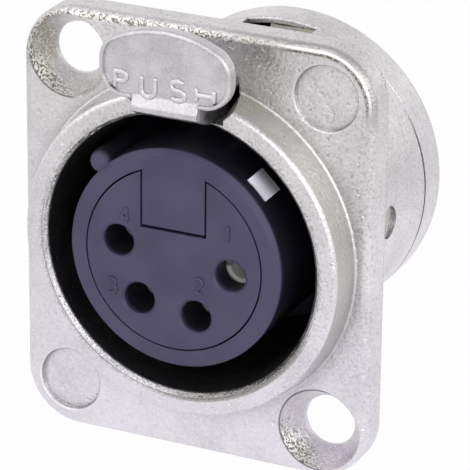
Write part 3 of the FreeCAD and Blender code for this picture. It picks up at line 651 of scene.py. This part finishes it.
@dataclass(frozen=True)
class CastNickel:
    """Satin nickel on a zinc casting: fine grain, uneven gloss; painted glints, edge light and shade, hollow
    shade.

    The sizes of lumps, pits, specks, painted edge flecks and glints are multiples of the grain.
    """

    name: str
    base: Colour
    details: tuple[Detail, ...] = ()
    roughness: float = 0.36
    roughness_spread: tuple[float, float] = (-0.05, 0.07)
    smoother: float = -0.10
    grain_mm: float = 0.25
    grain_detail: float = 4.0
    grain_height_mm: float = 0.105
    grain_light: Ramp = Ramp(0.35, 0.75, 0.0, 0.5)
    relief: float = 0.55
    lump_grains: float = 5.0
    lump_detail: float = 2.0
    lump_height: float = 0.9
    pits: Flecks = Flecks(2.1, 1.0, falling(0.28, 0.36))
    pit_depth: float = 0.5
    pit_share: float = 0.12
    pit_factor: float = 0.45
    specks: Flecks = Flecks(0.7, 2.0, Ramp(0.50, 0.68))
    speck_share: float = 0.5
    speck_upper_right: Ramp = Ramp(-14.0, 16.0, 0.15, 1.0)
    edge_mm: float = 0.16
    edge_highlight: Flecks = Flecks(0.9, 2.0, Ramp(0.44, 0.56))
    edge_highlight_share: float = 0.75
    glints: Flecks = Flecks(0.6, 1.0, Ramp(0.60, 0.68))
    glint_share: float = 0.35
    pale_factor: float = 1.12
    hollow_shade_mm: float = 2.4
    hollow_shade_shut: float = 0.22
    hollow_shade_open: float = 0.88
    hollow_shade_share: float = 0.80
    hollow_shade_factor: float = 0.06
    cloud_mm: float = 4.5
    cloud_detail: float = 3.0
    cloud_share: float = 0.16
    lilac: Colour = (1.0, 0.985, 1.055)
    lilac_lower: Ramp = falling(-8.0, 14.0)
    lilac_drift_mm: float = 8.0

    def material(self) -> Material:
        """Build the finish.

        Returns:
            The material.
        """
        coat = Coat(self.name)
        coat.grain = coat.noise(coat.place, self.grain_mm, self.grain_detail)
        lumps = coat.noise(coat.place, self.grain_mm * self.lump_grains, self.lump_detail)
        pits = coat.flecks(self.pits, self.grain_mm)
        glints = coat.flecks(self.glints, self.grain_mm)
        normal, edge = coat.rounded(self.edge_mm)
        self.colour_skin(coat, pits, glints, edge)
        least, most = (self.roughness + spread for spread in self.roughness_spread)
        coat.rough = coat.ramp(lumps, Ramp(NOISE_LOW, NOISE_HIGH, least, most))
        coat.roughen(edge, self.smoother)
        coat.roughen(glints, self.smoother)
        for detail in self.details:
            detail.lay_on(coat)
        height = coat.math("ADD", coat.grain, coat.product(lumps, self.lump_height))
        height = coat.math("SUBTRACT", height, coat.product(pits, self.pit_depth))
        return coat.finish(height, self.relief, self.grain_height_mm, normal)

    def colour_skin(self, coat: Coat, pits: Output, glints: Output, edge: Output) -> None:
        """Colour the cast skin, from its broad clouds to its painted glints and the painted shade in its
        hollows.

        Args:
            coat: the finish so far, with its grain.
            pits: where small pits lie.
            glints: where bright flecks lie.
            edge: where the edges lie.
        """
        across, _, up = coat.place_mm
        cloud = coat.noise(coat.place, self.cloud_mm, self.cloud_detail)
        pale = toned(self.base, self.pale_factor)
        lilac = tuple(own * part for own, part in zip(self.lilac, self.base))
        drifting = coat.math("ADD", up, coat.product(cloud, self.lilac_drift_mm))
        coat.colour = coat.mix(coat.ramp(drifting, self.lilac_lower), self.base, lilac)
        coat.paint(BLACK, coat.ramp(cloud, falling(NOISE_LOW, NOISE_HIGH, self.cloud_share)))
        # Dark specks, denser towards the upper right: the grain, with painted shade on the upper right.
        upper_right = coat.ramp(coat.math("ADD", across, up), self.speck_upper_right)
        coat.paint(CAST_SHADE, coat.flecks(self.specks, self.grain_mm), self.speck_share, upper_right)
        coat.paint(pale, coat.ramp(coat.grain, self.grain_light))
        coat.paint(toned(self.base, self.pit_factor), pits, self.pit_share)
        # Edges get pale and dark flecks: painted highlight and painted shade on the rounded edges.
        edge_highlight = coat.mix(coat.flecks(self.edge_highlight, self.grain_mm), CAST_SHADE, pale)
        coat.paint(edge_highlight, edge, self.edge_highlight_share)
        # Painted glints: pale flecks on the skin.
        coat.paint(pale, glints, self.glint_share)
        # Painted shade in hollows, from ambient occlusion.
        near = coat.node("ShaderNodeAmbientOcclusion", {"Distance": self.hollow_shade_mm * MM},
                         samples=HOLLOW_SHADE_SAMPLES)
        hollow_shade = falling(self.hollow_shade_shut, self.hollow_shade_open, self.hollow_shade_share)
        coat.paint(toned(self.base, self.hollow_shade_factor), coat.ramp(near.outputs["AO"], hollow_shade))


@dataclass(frozen=True)
class MouldedPlastic:
    """Dark moulded plastic: faint flow clouds, a fine satin skin, and smoother edges with a painted paler
    sheen.

    Where a face is named, all that lies deeper than that face, such as the bores in it, is dark with painted
    shade.
    """

    name: str
    base: Colour
    face_y_mm: float | None = None
    below_face: Ramp = Ramp(0.25, 0.75, 0.0, 0.85)
    deep_shade: Colour = (0.004, 0.004, 0.005)
    roughness: float = 0.46
    roughness_spread: float = 0.06
    skin_mm: float = 0.09
    skin_detail: float = 3.0
    skin_height_mm: float = 0.012
    skin_relief: float = 0.25
    flow_mm: float = 3.0
    flow_detail: float = 4.0
    pale_factor: float = 1.25
    pale_lift: float = 0.004
    specks: Flecks = Flecks(0.13, 0.0, Ramp(0.74, 0.80, 0.0, 0.5))
    speck_factor: float = 2.0
    edge_mm: float = 0.12
    edge_sheen_share: float = 0.5
    edge_sheen_factor: float = 1.7
    edge_smoother: float = -0.18

    def material(self) -> Material:
        """Build the finish.

        Returns:
            The material.
        """
        coat = Coat(self.name, metallic=0.0)
        skin = coat.noise(coat.place, self.skin_mm, self.skin_detail)
        flow = coat.noise(coat.place, self.flow_mm, self.flow_detail)
        normal, edge = coat.rounded(self.edge_mm)
        pale = toned(self.base, self.pale_factor, self.pale_lift)
        coat.colour = coat.mix(coat.ramp(flow, Ramp(NOISE_LOW, NOISE_HIGH)), self.base, pale)
        coat.paint(toned(self.base, self.speck_factor), coat.flecks(self.specks))
        if self.face_y_mm is not None:
            # Painted shade on all that lies deeper than the face.
            depth = coat.math("SUBTRACT", coat.place_mm[1], self.face_y_mm)
            coat.paint(self.deep_shade, coat.ramp(depth, self.below_face))
        # Painted sheen: the edges are paler.
        coat.paint(toned(self.base, self.edge_sheen_factor), edge, self.edge_sheen_share)
        coat.rough = coat.ramp(flow, Ramp(NOISE_LOW, NOISE_HIGH, self.roughness - self.roughness_spread,
                                          self.roughness + self.roughness_spread))
        coat.roughen(edge, self.edge_smoother)
        return coat.finish(skin, self.skin_relief, self.skin_height_mm, normal)


@dataclass(frozen=True)
class TurnedMetal:
    """Plated turned or rolled metal: fine marks along one way and a little tarnish."""

    name: str
    base: Colour
    tarnish: Colour
    details: tuple[Detail, ...] = ()
    metallic: float = 1.0
    roughness: float = 0.24
    roughness_spread: float = 0.14
    mark_mm: float = 0.05
    mark_detail: float = 2.0
    mark_squeeze: tuple[float, float, float] = (0.25, 1.0, 0.25)
    mark_height_mm: float = 0.006
    mark_relief: float = 0.3
    cloud_mm: float = 1.6
    cloud_detail: float = 3.0
    tarnished: Ramp = Ramp(0.35, 0.75, 0.0, 0.7)

    def material(self) -> Material:
        """Build the finish.

        Returns:
            The material.
        """
        coat = Coat(self.name, self.metallic)
        squeezed = coat.node("ShaderNodeMapping", {"Vector": coat.place, "Scale": self.mark_squeeze})
        marks = coat.noise(squeezed.outputs[0], self.mark_mm, self.mark_detail)
        cloud = coat.noise(coat.place, self.cloud_mm, self.cloud_detail)
        coat.colour = coat.mix(coat.ramp(cloud, self.tarnished), self.base, self.tarnish)
        coat.rough = coat.ramp(cloud, Ramp(NOISE_LOW, NOISE_HIGH, self.roughness,
                                           self.roughness + self.roughness_spread))
        for detail in self.details:
            detail.lay_on(coat)
        return coat.finish(marks, self.mark_relief, self.mark_height_mm)


# ---------------- meshes


def make_object(name: str, points: Array, faces: list[Array], material: Material) -> bpy.types.Object:
    """Put points and faces into a mesh object at the origin, shaded smooth.

    Args:
        name: the piece's name.
        points: vertices in metres, one a row.
        faces: arrays of vertex numbers, each array with one face a row.
        material: the piece's finish.

    Returns:
        The object.
    """
    mesh = bpy.data.meshes.new(name)
    loops = np.concatenate([part.ravel() for part in faces]).astype(np.int32)
    counts = np.concatenate([np.full(len(part), part.shape[1]) for part in faces]).astype(np.int32)
    starts = np.concatenate([[0], np.cumsum(counts)[:-1]]).astype(np.int32)
    mesh.vertices.add(len(points))
    mesh.vertices.foreach_set("co", points.astype(np.float32).ravel())
    mesh.loops.add(len(loops))
    mesh.loops.foreach_set("vertex_index", loops)
    mesh.polygons.add(len(counts))
    mesh.polygons.foreach_set("loop_start", starts)
    mesh.polygons.foreach_set("use_smooth", np.ones(len(counts), bool))
    mesh.update(calc_edges=True)
    mesh.validate()
    mesh.materials.append(material)
    made = bpy.data.objects.new(name, mesh)
    bpy.context.collection.objects.link(made)
    return made


def run_along(path: Array) -> Array:
    """How far along a path each of its points lies, from the first."""
    return np.concatenate([[0.0], np.cumsum(np.linalg.norm(np.diff(path, axis=0), axis=1))])


@dataclass(frozen=True)
class Bead:
    """A raised bead on a flat face that looks along -Y, carried along a path of (x, z)."""

    width_mm: float
    height_mm: float
    floor_y_mm: float
    slope_below_mm: float = -math.inf
    slope: float = 0.0
    sunk_mm: float = 0.03
    around: int = 14
    step_mm: float = 0.05
    fewest_points: int = 6

    def mesh(self, path: Array) -> Mesh:
        """The bead's closed surface.

        Its point at the path's place s and the angle t is the path's point, plus half the width
        times cos t along the path's side, plus the height times sin t out of the face. Below the
        face the height is the sunk depth. Near both ends the width and the height shrink as the
        root of one minus the square of the distance, so that the ends are round. The face comes
        forward by the slope times the distance below the height at which the slope begins.

        Args:
            path: corners in millimetres, one (x, z) a row.

        Returns:
            Points in metres and faces.
        """
        line = self.even(path)
        ahead = np.gradient(line, axis=0)
        ahead /= np.linalg.norm(ahead, axis=1, keepdims=True)
        side = np.stack([-ahead[:, 1], ahead[:, 0]], axis=1)
        run = run_along(line)
        half = self.width_mm / 2
        near_end = np.clip(1.0 - np.minimum(run, run[-1] - run) / half, 0.0, 1.0)
        swell = np.sqrt(np.clip(1.0 - near_end ** 2, 0.0, 1.0))[1:-1, None]
        turn = np.linspace(0.0, 2 * math.pi, self.around, endpoint=False)[None, :]
        above, below = self.height_mm * np.sin(turn) * swell, self.sunk_mm * np.sin(turn)
        out = np.where(np.sin(turn) > 0, above, below)
        ring = line[1:-1, None, :] + side[1:-1, None, :] * (half * swell * np.cos(turn))[..., None]
        rings = np.stack([ring[..., 0], self.floor(ring[..., 1]) - out, ring[..., 1]], axis=-1)
        ends = line[[0, -1]]
        tips = np.stack([ends[:, 0], self.floor(ends[:, 1]), ends[:, 1]], axis=1)
        return np.concatenate([rings.reshape(-1, 3), tips]) * MM, self.faces(len(line) - 2)

    def faces(self, rows: int) -> list[Array]:
        """Quads between neighbouring rings, and a fan from each tip to its ring.

        Args:
            rows: the number of rings.

        Returns:
            The quads, the first tip's triangles and the last tip's.
        """
        at = np.arange(rows * self.around).reshape(rows, self.around)
        turned = np.roll(at, -1, axis=1)
        quads = np.stack([at[:-1], at[1:], turned[1:], turned[:-1]], axis=-1).reshape(-1, 4)
        first, last = rows * self.around, rows * self.around + 1
        start = np.stack([np.full(self.around, first), at[0], turned[0]], axis=1)
        end = np.stack([np.full(self.around, last), turned[-1], at[-1]], axis=1)
        return [quads, start, end]

    def floor(self, height: Array) -> Array:
        """The face's y at each height: flat above the slope's start, and further forward below it."""
        return self.floor_y_mm - self.slope * np.maximum(self.slope_below_mm - height, 0.0)

    def even(self, path: Array) -> Array:
        """The path with evenly spaced points: each point's place is read off the corners' run."""
        run = run_along(path)
        places = np.linspace(0.0, run[-1], max(self.fewest_points, int(run[-1] / self.step_mm)))
        return np.stack([np.interp(places, run, path[:, k]) for k in (0, 1)], axis=1)


# ---------------- letters and numbers

GLYPH_WIDTH = 0.64


def corners(*spots: Spot) -> Array:
    """A stroke's corners, one (x, z) a row."""
    return np.array(spots, float)


def stroke(*parts: Array) -> list[Array]:
    """One stroke, whose parts follow one another."""
    return [np.concatenate(parts)]


def arc(centre: Spot, radii: Spot, start: float, stop: float, count: int = 24) -> Array:
    """Points of an ellipse's arc: the centre plus the radii times the cosine and sine of the angle.

    Args:
        centre: (x, z) of the middle.
        radii: half width and half height.
        start: first angle in degrees.
        stop: last angle in degrees.
        count: number of points.

    Returns:
        One (x, z) a row.
    """
    turn = np.radians(np.linspace(start, stop, count))
    return np.stack([centre[0] + radii[0] * np.cos(turn), centre[1] + radii[1] * np.sin(turn)], axis=1)


def glyph(letter: str) -> list[Array]:
    """The strokes of a plain letter or number, one unit high and about GLYPH_WIDTH wide.

    Args:
        letter: one of P, U, S, H, 1, 2, 3, 4.

    Returns:
        One array of (x, z) corners for each stroke.
    """
    strokes = {
        "P": stroke(corners((0, 0), (0, 1), (0.36, 1)), arc((0.36, 0.73), (0.27, 0.27), 90, -90),
                    corners((0, 0.46))),
        "U": stroke(corners((0, 1), (0, 0.3)), arc((0.32, 0.3), (0.32, 0.3), 180, 360),
                    corners((0.64, 1))),
        "S": stroke(arc((0.32, 0.75), (0.30, 0.25), 25, 270), arc((0.32, 0.25), (0.32, 0.25), 90, -155)),
        "H": [corners((0, 0), (0, 1)), corners((0.64, 0), (0.64, 1)), corners((0, 0.5), (0.64, 0.5))],
        "1": stroke(corners((0.12, 0.78), (0.36, 1), (0.36, 0))),
        "2": stroke(arc((0.32, 0.72), (0.29, 0.28), 165, -35), corners((0.02, 0), (0.64, 0))),
        "3": stroke(arc((0.30, 0.76), (0.27, 0.24), 150, -80), arc((0.30, 0.27), (0.31, 0.27), 80, -150)),
        "4": stroke(corners((0.46, 0), (0.46, 1), (0, 0.3), (0.66, 0.3))),
    }
    return strokes[letter]


def join(parts: list[Mesh]) -> Mesh:
    """Join meshes into one: their points in a row, and their faces' numbers moved on to match."""
    points, faces, base = [], [], 0
    for own, own_faces in parts:
        points.append(own)
        faces.extend(part + base for part in own_faces)
        base += len(own)
    return np.concatenate(points), faces


# ---------------- the object's pieces


class Dresser:
    """Puts finishes on the solids and new pieces on their bodies."""

    def __init__(self, frame: dict) -> None:
        """Keep the loaded frame's solids."""
        self.nodes = frame["nodes"]

    def dress(self, material: Material, *nodes: str) -> None:
        """Give solids their finish.

        Args:
            material: the finish.
            nodes: the solids' names.
        """
        for node in nodes:
            for slot in self.nodes[node].material_slots:
                slot.material = material
            log.info("dressed %s with %s", node, material.name)

    def seat(self, piece: bpy.types.Object, body: Body, slot: Slot) -> None:
        """Let a new piece ride on a body.

        Args:
            piece: the new object.
            body: the body it moves with.
            slot: the record's slot; not used.
        """
        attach(piece, body.value)
        log.info("made %s: %d faces on %s", piece.name, len(piece.data.polygons), body.value)


@dataclass
class Shell:
    """Housing and rear ring."""

    nickel: Colour = (0.86, 0.83, 0.855)
    joint: RearJointShade = RearJointShade()
    # The dimple's tone, and painted shade, highlights and sparkle on the housing.
    marks: tuple[Detail, ...] = (Dimple(), CollarShadeAndHighlights(), MouthBorder(), ScrewCones(), RecessRims(),
                                 FlangeTop(), TabShadowPatch(), BoreShade())

    def build(self, dresser: Dresser) -> None:
        """Dress the shell's solids."""
        housing = CastNickel("shell_nickel", self.nickel, (self.joint, *self.marks))
        dresser.dress(housing.material(), "housing")
        ring = CastNickel("ring_nickel", self.nickel, (self.joint,), roughness=0.34, speck_share=0.15)
        dresser.dress(ring.material(), "rear_ring")


@dataclass
class Latch:
    """Lever with its word, pin, leaf spring and rivet."""

    nickel: Colour = (0.79, 0.77, 0.80)
    # Paler nickel for the raised letters: a painted highlight.
    word_lit_nickel: Colour = (0.88, 0.86, 0.89)
    steel: Colour = (0.56, 0.56, 0.57)
    steel_tarnish: Colour = (0.40, 0.39, 0.38)
    leaf: Colour = (0.62, 0.62, 0.55)
    leaf_tarnish: Colour = (0.80, 0.80, 0.72)
    grain_mm: float = 0.16
    letters_mm: tuple[tuple[str, float, float, float, float], ...] = (
        ("P", -3.70, 12.11, 0.87, 1.19), ("U", -1.74, 11.87, 0.98, 1.40),
        ("S", 0.39, 11.94, 1.02, 1.31), ("H", 2.25, 12.06, 1.26, 0.99))
    bead: Bead = Bead(width_mm=0.38, height_mm=0.14, floor_y_mm=-6.70, slope_below_mm=11.88, slope=0.41)

    def build(self, dresser: Dresser) -> None:
        """Dress the latch's solids and raise the word on the tab."""
        nickel = CastNickel("latch_nickel", self.nickel, (LeverShade(),), grain_mm=self.grain_mm,
                            grain_height_mm=0.030, hollow_shade_mm=1.0, hollow_shade_open=0.60, cloud_mm=1.6,
                            cloud_share=0.20, speck_share=0.2)
        dresser.dress(nickel.material(), "latch_lever")
        steel = TurnedMetal("pin_steel", self.steel, self.steel_tarnish)
        dresser.dress(steel.material(), "latch_pivot_pin", "spring_rivet")
        leaf = TurnedMetal("leaf_steel", self.leaf, self.leaf_tarnish, (LeafShade(),))
        dresser.dress(leaf.material(), "latch_spring")
        # The raised letters take a paler copy of the lever's nickel: a painted highlight.
        bright = CastNickel("word_lit_nickel", self.word_lit_nickel, roughness=0.46, grain_mm=self.grain_mm,
                            grain_height_mm=0.010, hollow_shade_mm=0.2, speck_share=0.1)
        word = make_object("push_word", *join(self.word()), bright.material())
        dresser.seat(word, Body.LATCH, Slot.LATCH)

    def word(self) -> list[Mesh]:
        """The word's strokes: each letter scaled to its width and height and moved to its place."""
        return [self.bead.mesh(line * np.array([wide / GLYPH_WIDTH, high]) + np.array([x, z]))
                for letter, x, z, wide, high in self.letters_mm for line in glyph(letter)]


@dataclass
class Insert:
    """Sleeve, core and rear half of the insert, with the contacts' numbers."""

    dark: Colour = (0.058, 0.049, 0.107)
    face_y_mm: float = -5.45
    number_mm: Spot = (0.62, 1.05)
    places_mm: tuple[tuple[str, float, float], ...] = (
        ("4", -3.59, 2.62), ("3", -4.54, -2.67), ("2", 1.91, -1.51), ("1", 4.01, 2.57))

    def build(self, dresser: Dresser) -> None:
        """Dress the insert's solids and raise its numbers."""
        plastic = MouldedPlastic("insert_plastic", self.dark, self.face_y_mm).material()
        dresser.dress(plastic, "insert_sleeve", "insert_core")
        rear = MouldedPlastic("rear_plastic", self.dark, roughness=0.5)
        dresser.dress(rear.material(), "insert_rear")
        numbers = make_object("contact_numbers", *join(self.numbers()), plastic)
        dresser.seat(numbers, Body.SOCKET, Slot.INSERT)

    def numbers(self) -> list[Mesh]:
        """The numbers' strokes: each number centred, scaled to its size and moved to its place."""
        bead = Bead(width_mm=0.25, height_mm=0.14, floor_y_mm=self.face_y_mm, step_mm=0.04)
        wide, high = self.number_mm
        middle = np.array([GLYPH_WIDTH / 2, 0.5])
        return [bead.mesh((line - middle) * np.array([wide / GLYPH_WIDTH, high]) + np.array([x, z]))
                for number, x, z in self.places_mm for line in glyph(number)]


@dataclass
class Contacts:
    """The turned contacts and the ground strip."""

    count: int = 4
    silver: Colour = (0.93, 0.93, 0.92)
    tarnish: Colour = (0.78, 0.76, 0.72)
    strip: Colour = (0.50, 0.48, 0.54)

    def build(self, dresser: Dresser) -> None:
        """Dress the contacts."""
        turned = TurnedMetal("contact_silver", self.silver, self.tarnish, roughness=0.42, metallic=0.1)
        dresser.dress(turned.material(), *(f"contact_{number + 1}" for number in range(self.count)))
        strip = TurnedMetal("strip_silver", self.strip, self.strip, (StripShade(),), roughness=0.40)
        dresser.dress(strip.material(), "ground_contact")


# ---------------- camera, light and floor


def placed(axes: tuple[Array, Array, Array], place: Array) -> Matrix:
    """The matrix of an object with these x, y and z axes, at a place in metres."""
    matrix = np.eye(4)
    matrix[:3, :3] = np.stack(axes, axis=1)
    matrix[:3, 3] = place
    return Matrix(matrix)


@dataclass(frozen=True)
class PhotoCamera:
    """The photograph's camera, for a square image."""

    azimuth_deg: float = 25.574
    elevation_deg: float = 22.533
    roll_deg: float = 0.375
    distance_mm: float = 237.73
    scale_px_per_mm: float = 14.775
    aim_mm: tuple[float, float, float] = (0.0, -2.2, 0.0)
    aim_px: tuple[float, float] = (193.995, 243.608)
    image_px: float = 470.0
    sensor_mm: float = 36.0
    clip_m: tuple[float, float] = (0.01, 20.0)

    def place(self) -> None:
        """Make the camera: it looks back along the line from the aim, and its shift frames the aim."""
        turn, rise, roll = (math.radians(v) for v in (self.azimuth_deg, self.elevation_deg, self.roll_deg))
        back = np.array([math.sin(turn) * math.cos(rise), -math.cos(turn) * math.cos(rise), math.sin(rise)])
        level = np.array([math.cos(turn), math.sin(turn), 0.0])
        above = np.cross(back, level)
        right = math.cos(roll) * level + math.sin(roll) * above
        up = math.cos(roll) * above - math.sin(roll) * level
        data = bpy.data.cameras.new("photo_camera")
        data.sensor_width = self.sensor_mm
        data.lens = self.scale_px_per_mm * self.distance_mm / self.image_px * self.sensor_mm
        data.shift_x = 0.5 - self.aim_px[0] / self.image_px
        data.shift_y = self.aim_px[1] / self.image_px - 0.5
        data.clip_start, data.clip_end = self.clip_m
        camera = bpy.data.objects.new("photo_camera", data)
        stand = (np.array(self.aim_mm) + back * self.distance_mm) * MM
        camera.matrix_world = placed((right, up, back), stand)
        bpy.context.collection.objects.link(camera)
        bpy.context.scene.camera = camera


@dataclass(frozen=True)
class Lamp:
    """A square lamp that looks at the object."""

    name: str
    place_mm: tuple[float, float, float]
    side_mm: float
    watts: float

    def build(self) -> None:
        """Make the lamp: its z axis points from the object to its place."""
        data = bpy.data.lights.new(self.name, "AREA")
        data.size = self.side_mm * MM
        data.energy = self.watts
        lamp = bpy.data.objects.new(self.name, data)
        place = np.array(self.place_mm) * MM
        out = place / np.linalg.norm(place)
        side = np.cross([0.0, 0.0, 1.0], out)
        side /= np.linalg.norm(side)
        lamp.matrix_world = placed((side, np.cross(out, side), out), place)
        bpy.context.collection.objects.link(lamp)


@dataclass(frozen=True)
class Studio:
    """A pale floor, a soft world and square lamps.

    The world's ramps read the z or the y of a ray's direction. The pool is a painted pool of light,
    the floor's bright round glow in mirror rays, whose ramp reads the distance from its middle.
    """

    floor_z_mm: float = -19.0
    floor_size_mm: float = 3000.0
    floor_grey: Colour = (0.9, 0.9, 0.9)
    floor_camera_share: float = 0.97
    floor_mirror_share: float = 0.75
    pool_middle_mm: Spot = (10.0, 20.0)
    pool: Ramp = Ramp(20.0, 140.0, 1.0, 0.62)
    world_mirror_share: float = 0.85
    world_by_z: Ramp = Ramp(-0.2, 0.9, 0.45, 0.75)
    world_by_y: Ramp = Ramp(-0.9, 0.3, 0.72, 1.0)
    mirrored_by_z: Ramp = Ramp(0.3, 0.62, 1.0, 0.62)
    lamps: tuple[Lamp, ...] = (
        Lamp("key_lamp", (-220.0, -330.0, 420.0), 480.0, 0.6),
        Lamp("fill_lamp", (420.0, -160.0, 160.0), 360.0, 0.35),
        Lamp("spark_lamp", (258.0, -240.0, 268.0), 70.0, 0.06),
        Lamp("low_lamp", (-190.0, -330.0, 60.0), 110.0, 0.04),
        Lamp("front_lamp", (165.0, -320.0, 110.0), 60.0, 0.13),
    )

    def build(self) -> None:
        """Make the world, the floor and the lamps."""
        self.world()
        self.floor()
        for lamp in self.lamps:
            lamp.build()

    def world(self) -> None:
        """A white background for camera and mirror rays and a plain soft light for the rest."""
        world = bpy.data.worlds.new("studio_world")
        bpy.context.scene.world = world
        graph = Graph(world)
        way = graph.node("ShaderNodeTexCoord").outputs["Generated"]
        _, along, up = graph.node("ShaderNodeSeparateXYZ", {"Vector": way}).outputs
        rays = graph.node("ShaderNodeLightPath").outputs
        level = graph.product(graph.ramp(up, self.world_by_z), graph.ramp(along, self.world_by_y))
        light = graph.node("ShaderNodeBackground", {"Color": graph.mix(level, BLACK, WHITE), "Strength": 1.0})
        fading = graph.math("MAXIMUM", graph.ramp(up, self.mirrored_by_z), rays["Is Camera Ray"])
        white = graph.node("ShaderNodeBackground", {"Color": (*WHITE, 1.0), "Strength": fading})
        seen = graph.math("MAXIMUM", rays["Is Camera Ray"],
                          graph.product(rays["Is Glossy Ray"], self.world_mirror_share))
        both = graph.node("ShaderNodeMixShader", {0: seen, 1: light.outputs[0], 2: white.outputs[0]})
        graph.node("ShaderNodeOutputWorld", {"Surface": both.outputs[0]})

    def floor(self) -> None:
        """A pale floor that shows as white, keeps the object's shadow and glows brightest round the object: a
        painted pool of light.
        """
        half = self.floor_size_mm / 2
        ends = ((-half, -half), (half, -half), (half, half), (-half, half))
        points = np.array([(x, y, self.floor_z_mm) for x, y in ends]) * MM
        make_object("floor", points, [np.array([[0, 1, 2, 3]])], self.floor_finish())

    def floor_finish(self) -> Material:
        """The floor's finish: matt and pale, with a white glow of its own for camera rays, and for mirror
        rays a painted pool of light.

        Returns:
            The material.
        """
        material = bpy.data.materials.new("pale_floor")
        graph = Graph(material)
        rays = graph.node("ShaderNodeLightPath").outputs
        place = graph.node("ShaderNodeTexCoord").outputs["Object"]
        middle = tuple(v * MM for v in (*self.pool_middle_mm, self.floor_z_mm))
        away = graph.node("ShaderNodeVectorMath", {0: place, 1: middle}, operation="DISTANCE")
        # Painted pool of light: the glow seen in mirror rays fades with the distance from the pool's middle.
        pool = graph.ramp(graph.math("DIVIDE", away.outputs["Value"], MM), self.pool)
        level = graph.math("MAXIMUM", rays["Is Camera Ray"], pool)
        matt = graph.node("ShaderNodeBsdfDiffuse", {"Color": (*self.floor_grey, 1.0)})
        glow = graph.node("ShaderNodeEmission", {"Color": (*WHITE, 1.0), "Strength": level})
        share = graph.math("MAXIMUM", graph.product(rays["Is Camera Ray"], self.floor_camera_share),
                           graph.product(rays["Is Glossy Ray"], self.floor_mirror_share))
        both = graph.node("ShaderNodeMixShader", {0: share, 1: matt.outputs[0], 2: glow.outputs[0]})
        graph.node("ShaderNodeOutputMaterial", {"Surface": both.outputs[0]})
        return material


def main() -> None:
    """Build the looks round the solids, in order."""
    logging.basicConfig(level=logging.INFO, format="%(name)s: %(message)s")
    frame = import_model()
    scene = bpy.context.scene
    scene.view_settings.view_transform = "Standard"
    PhotoCamera().place()
    Studio().build()
    dresser = Dresser(frame)
    for assembly in (Shell(), Latch(), Insert(), Contacts()):
        assembly.build(dresser)


if __name__ == "__main__":
    main()
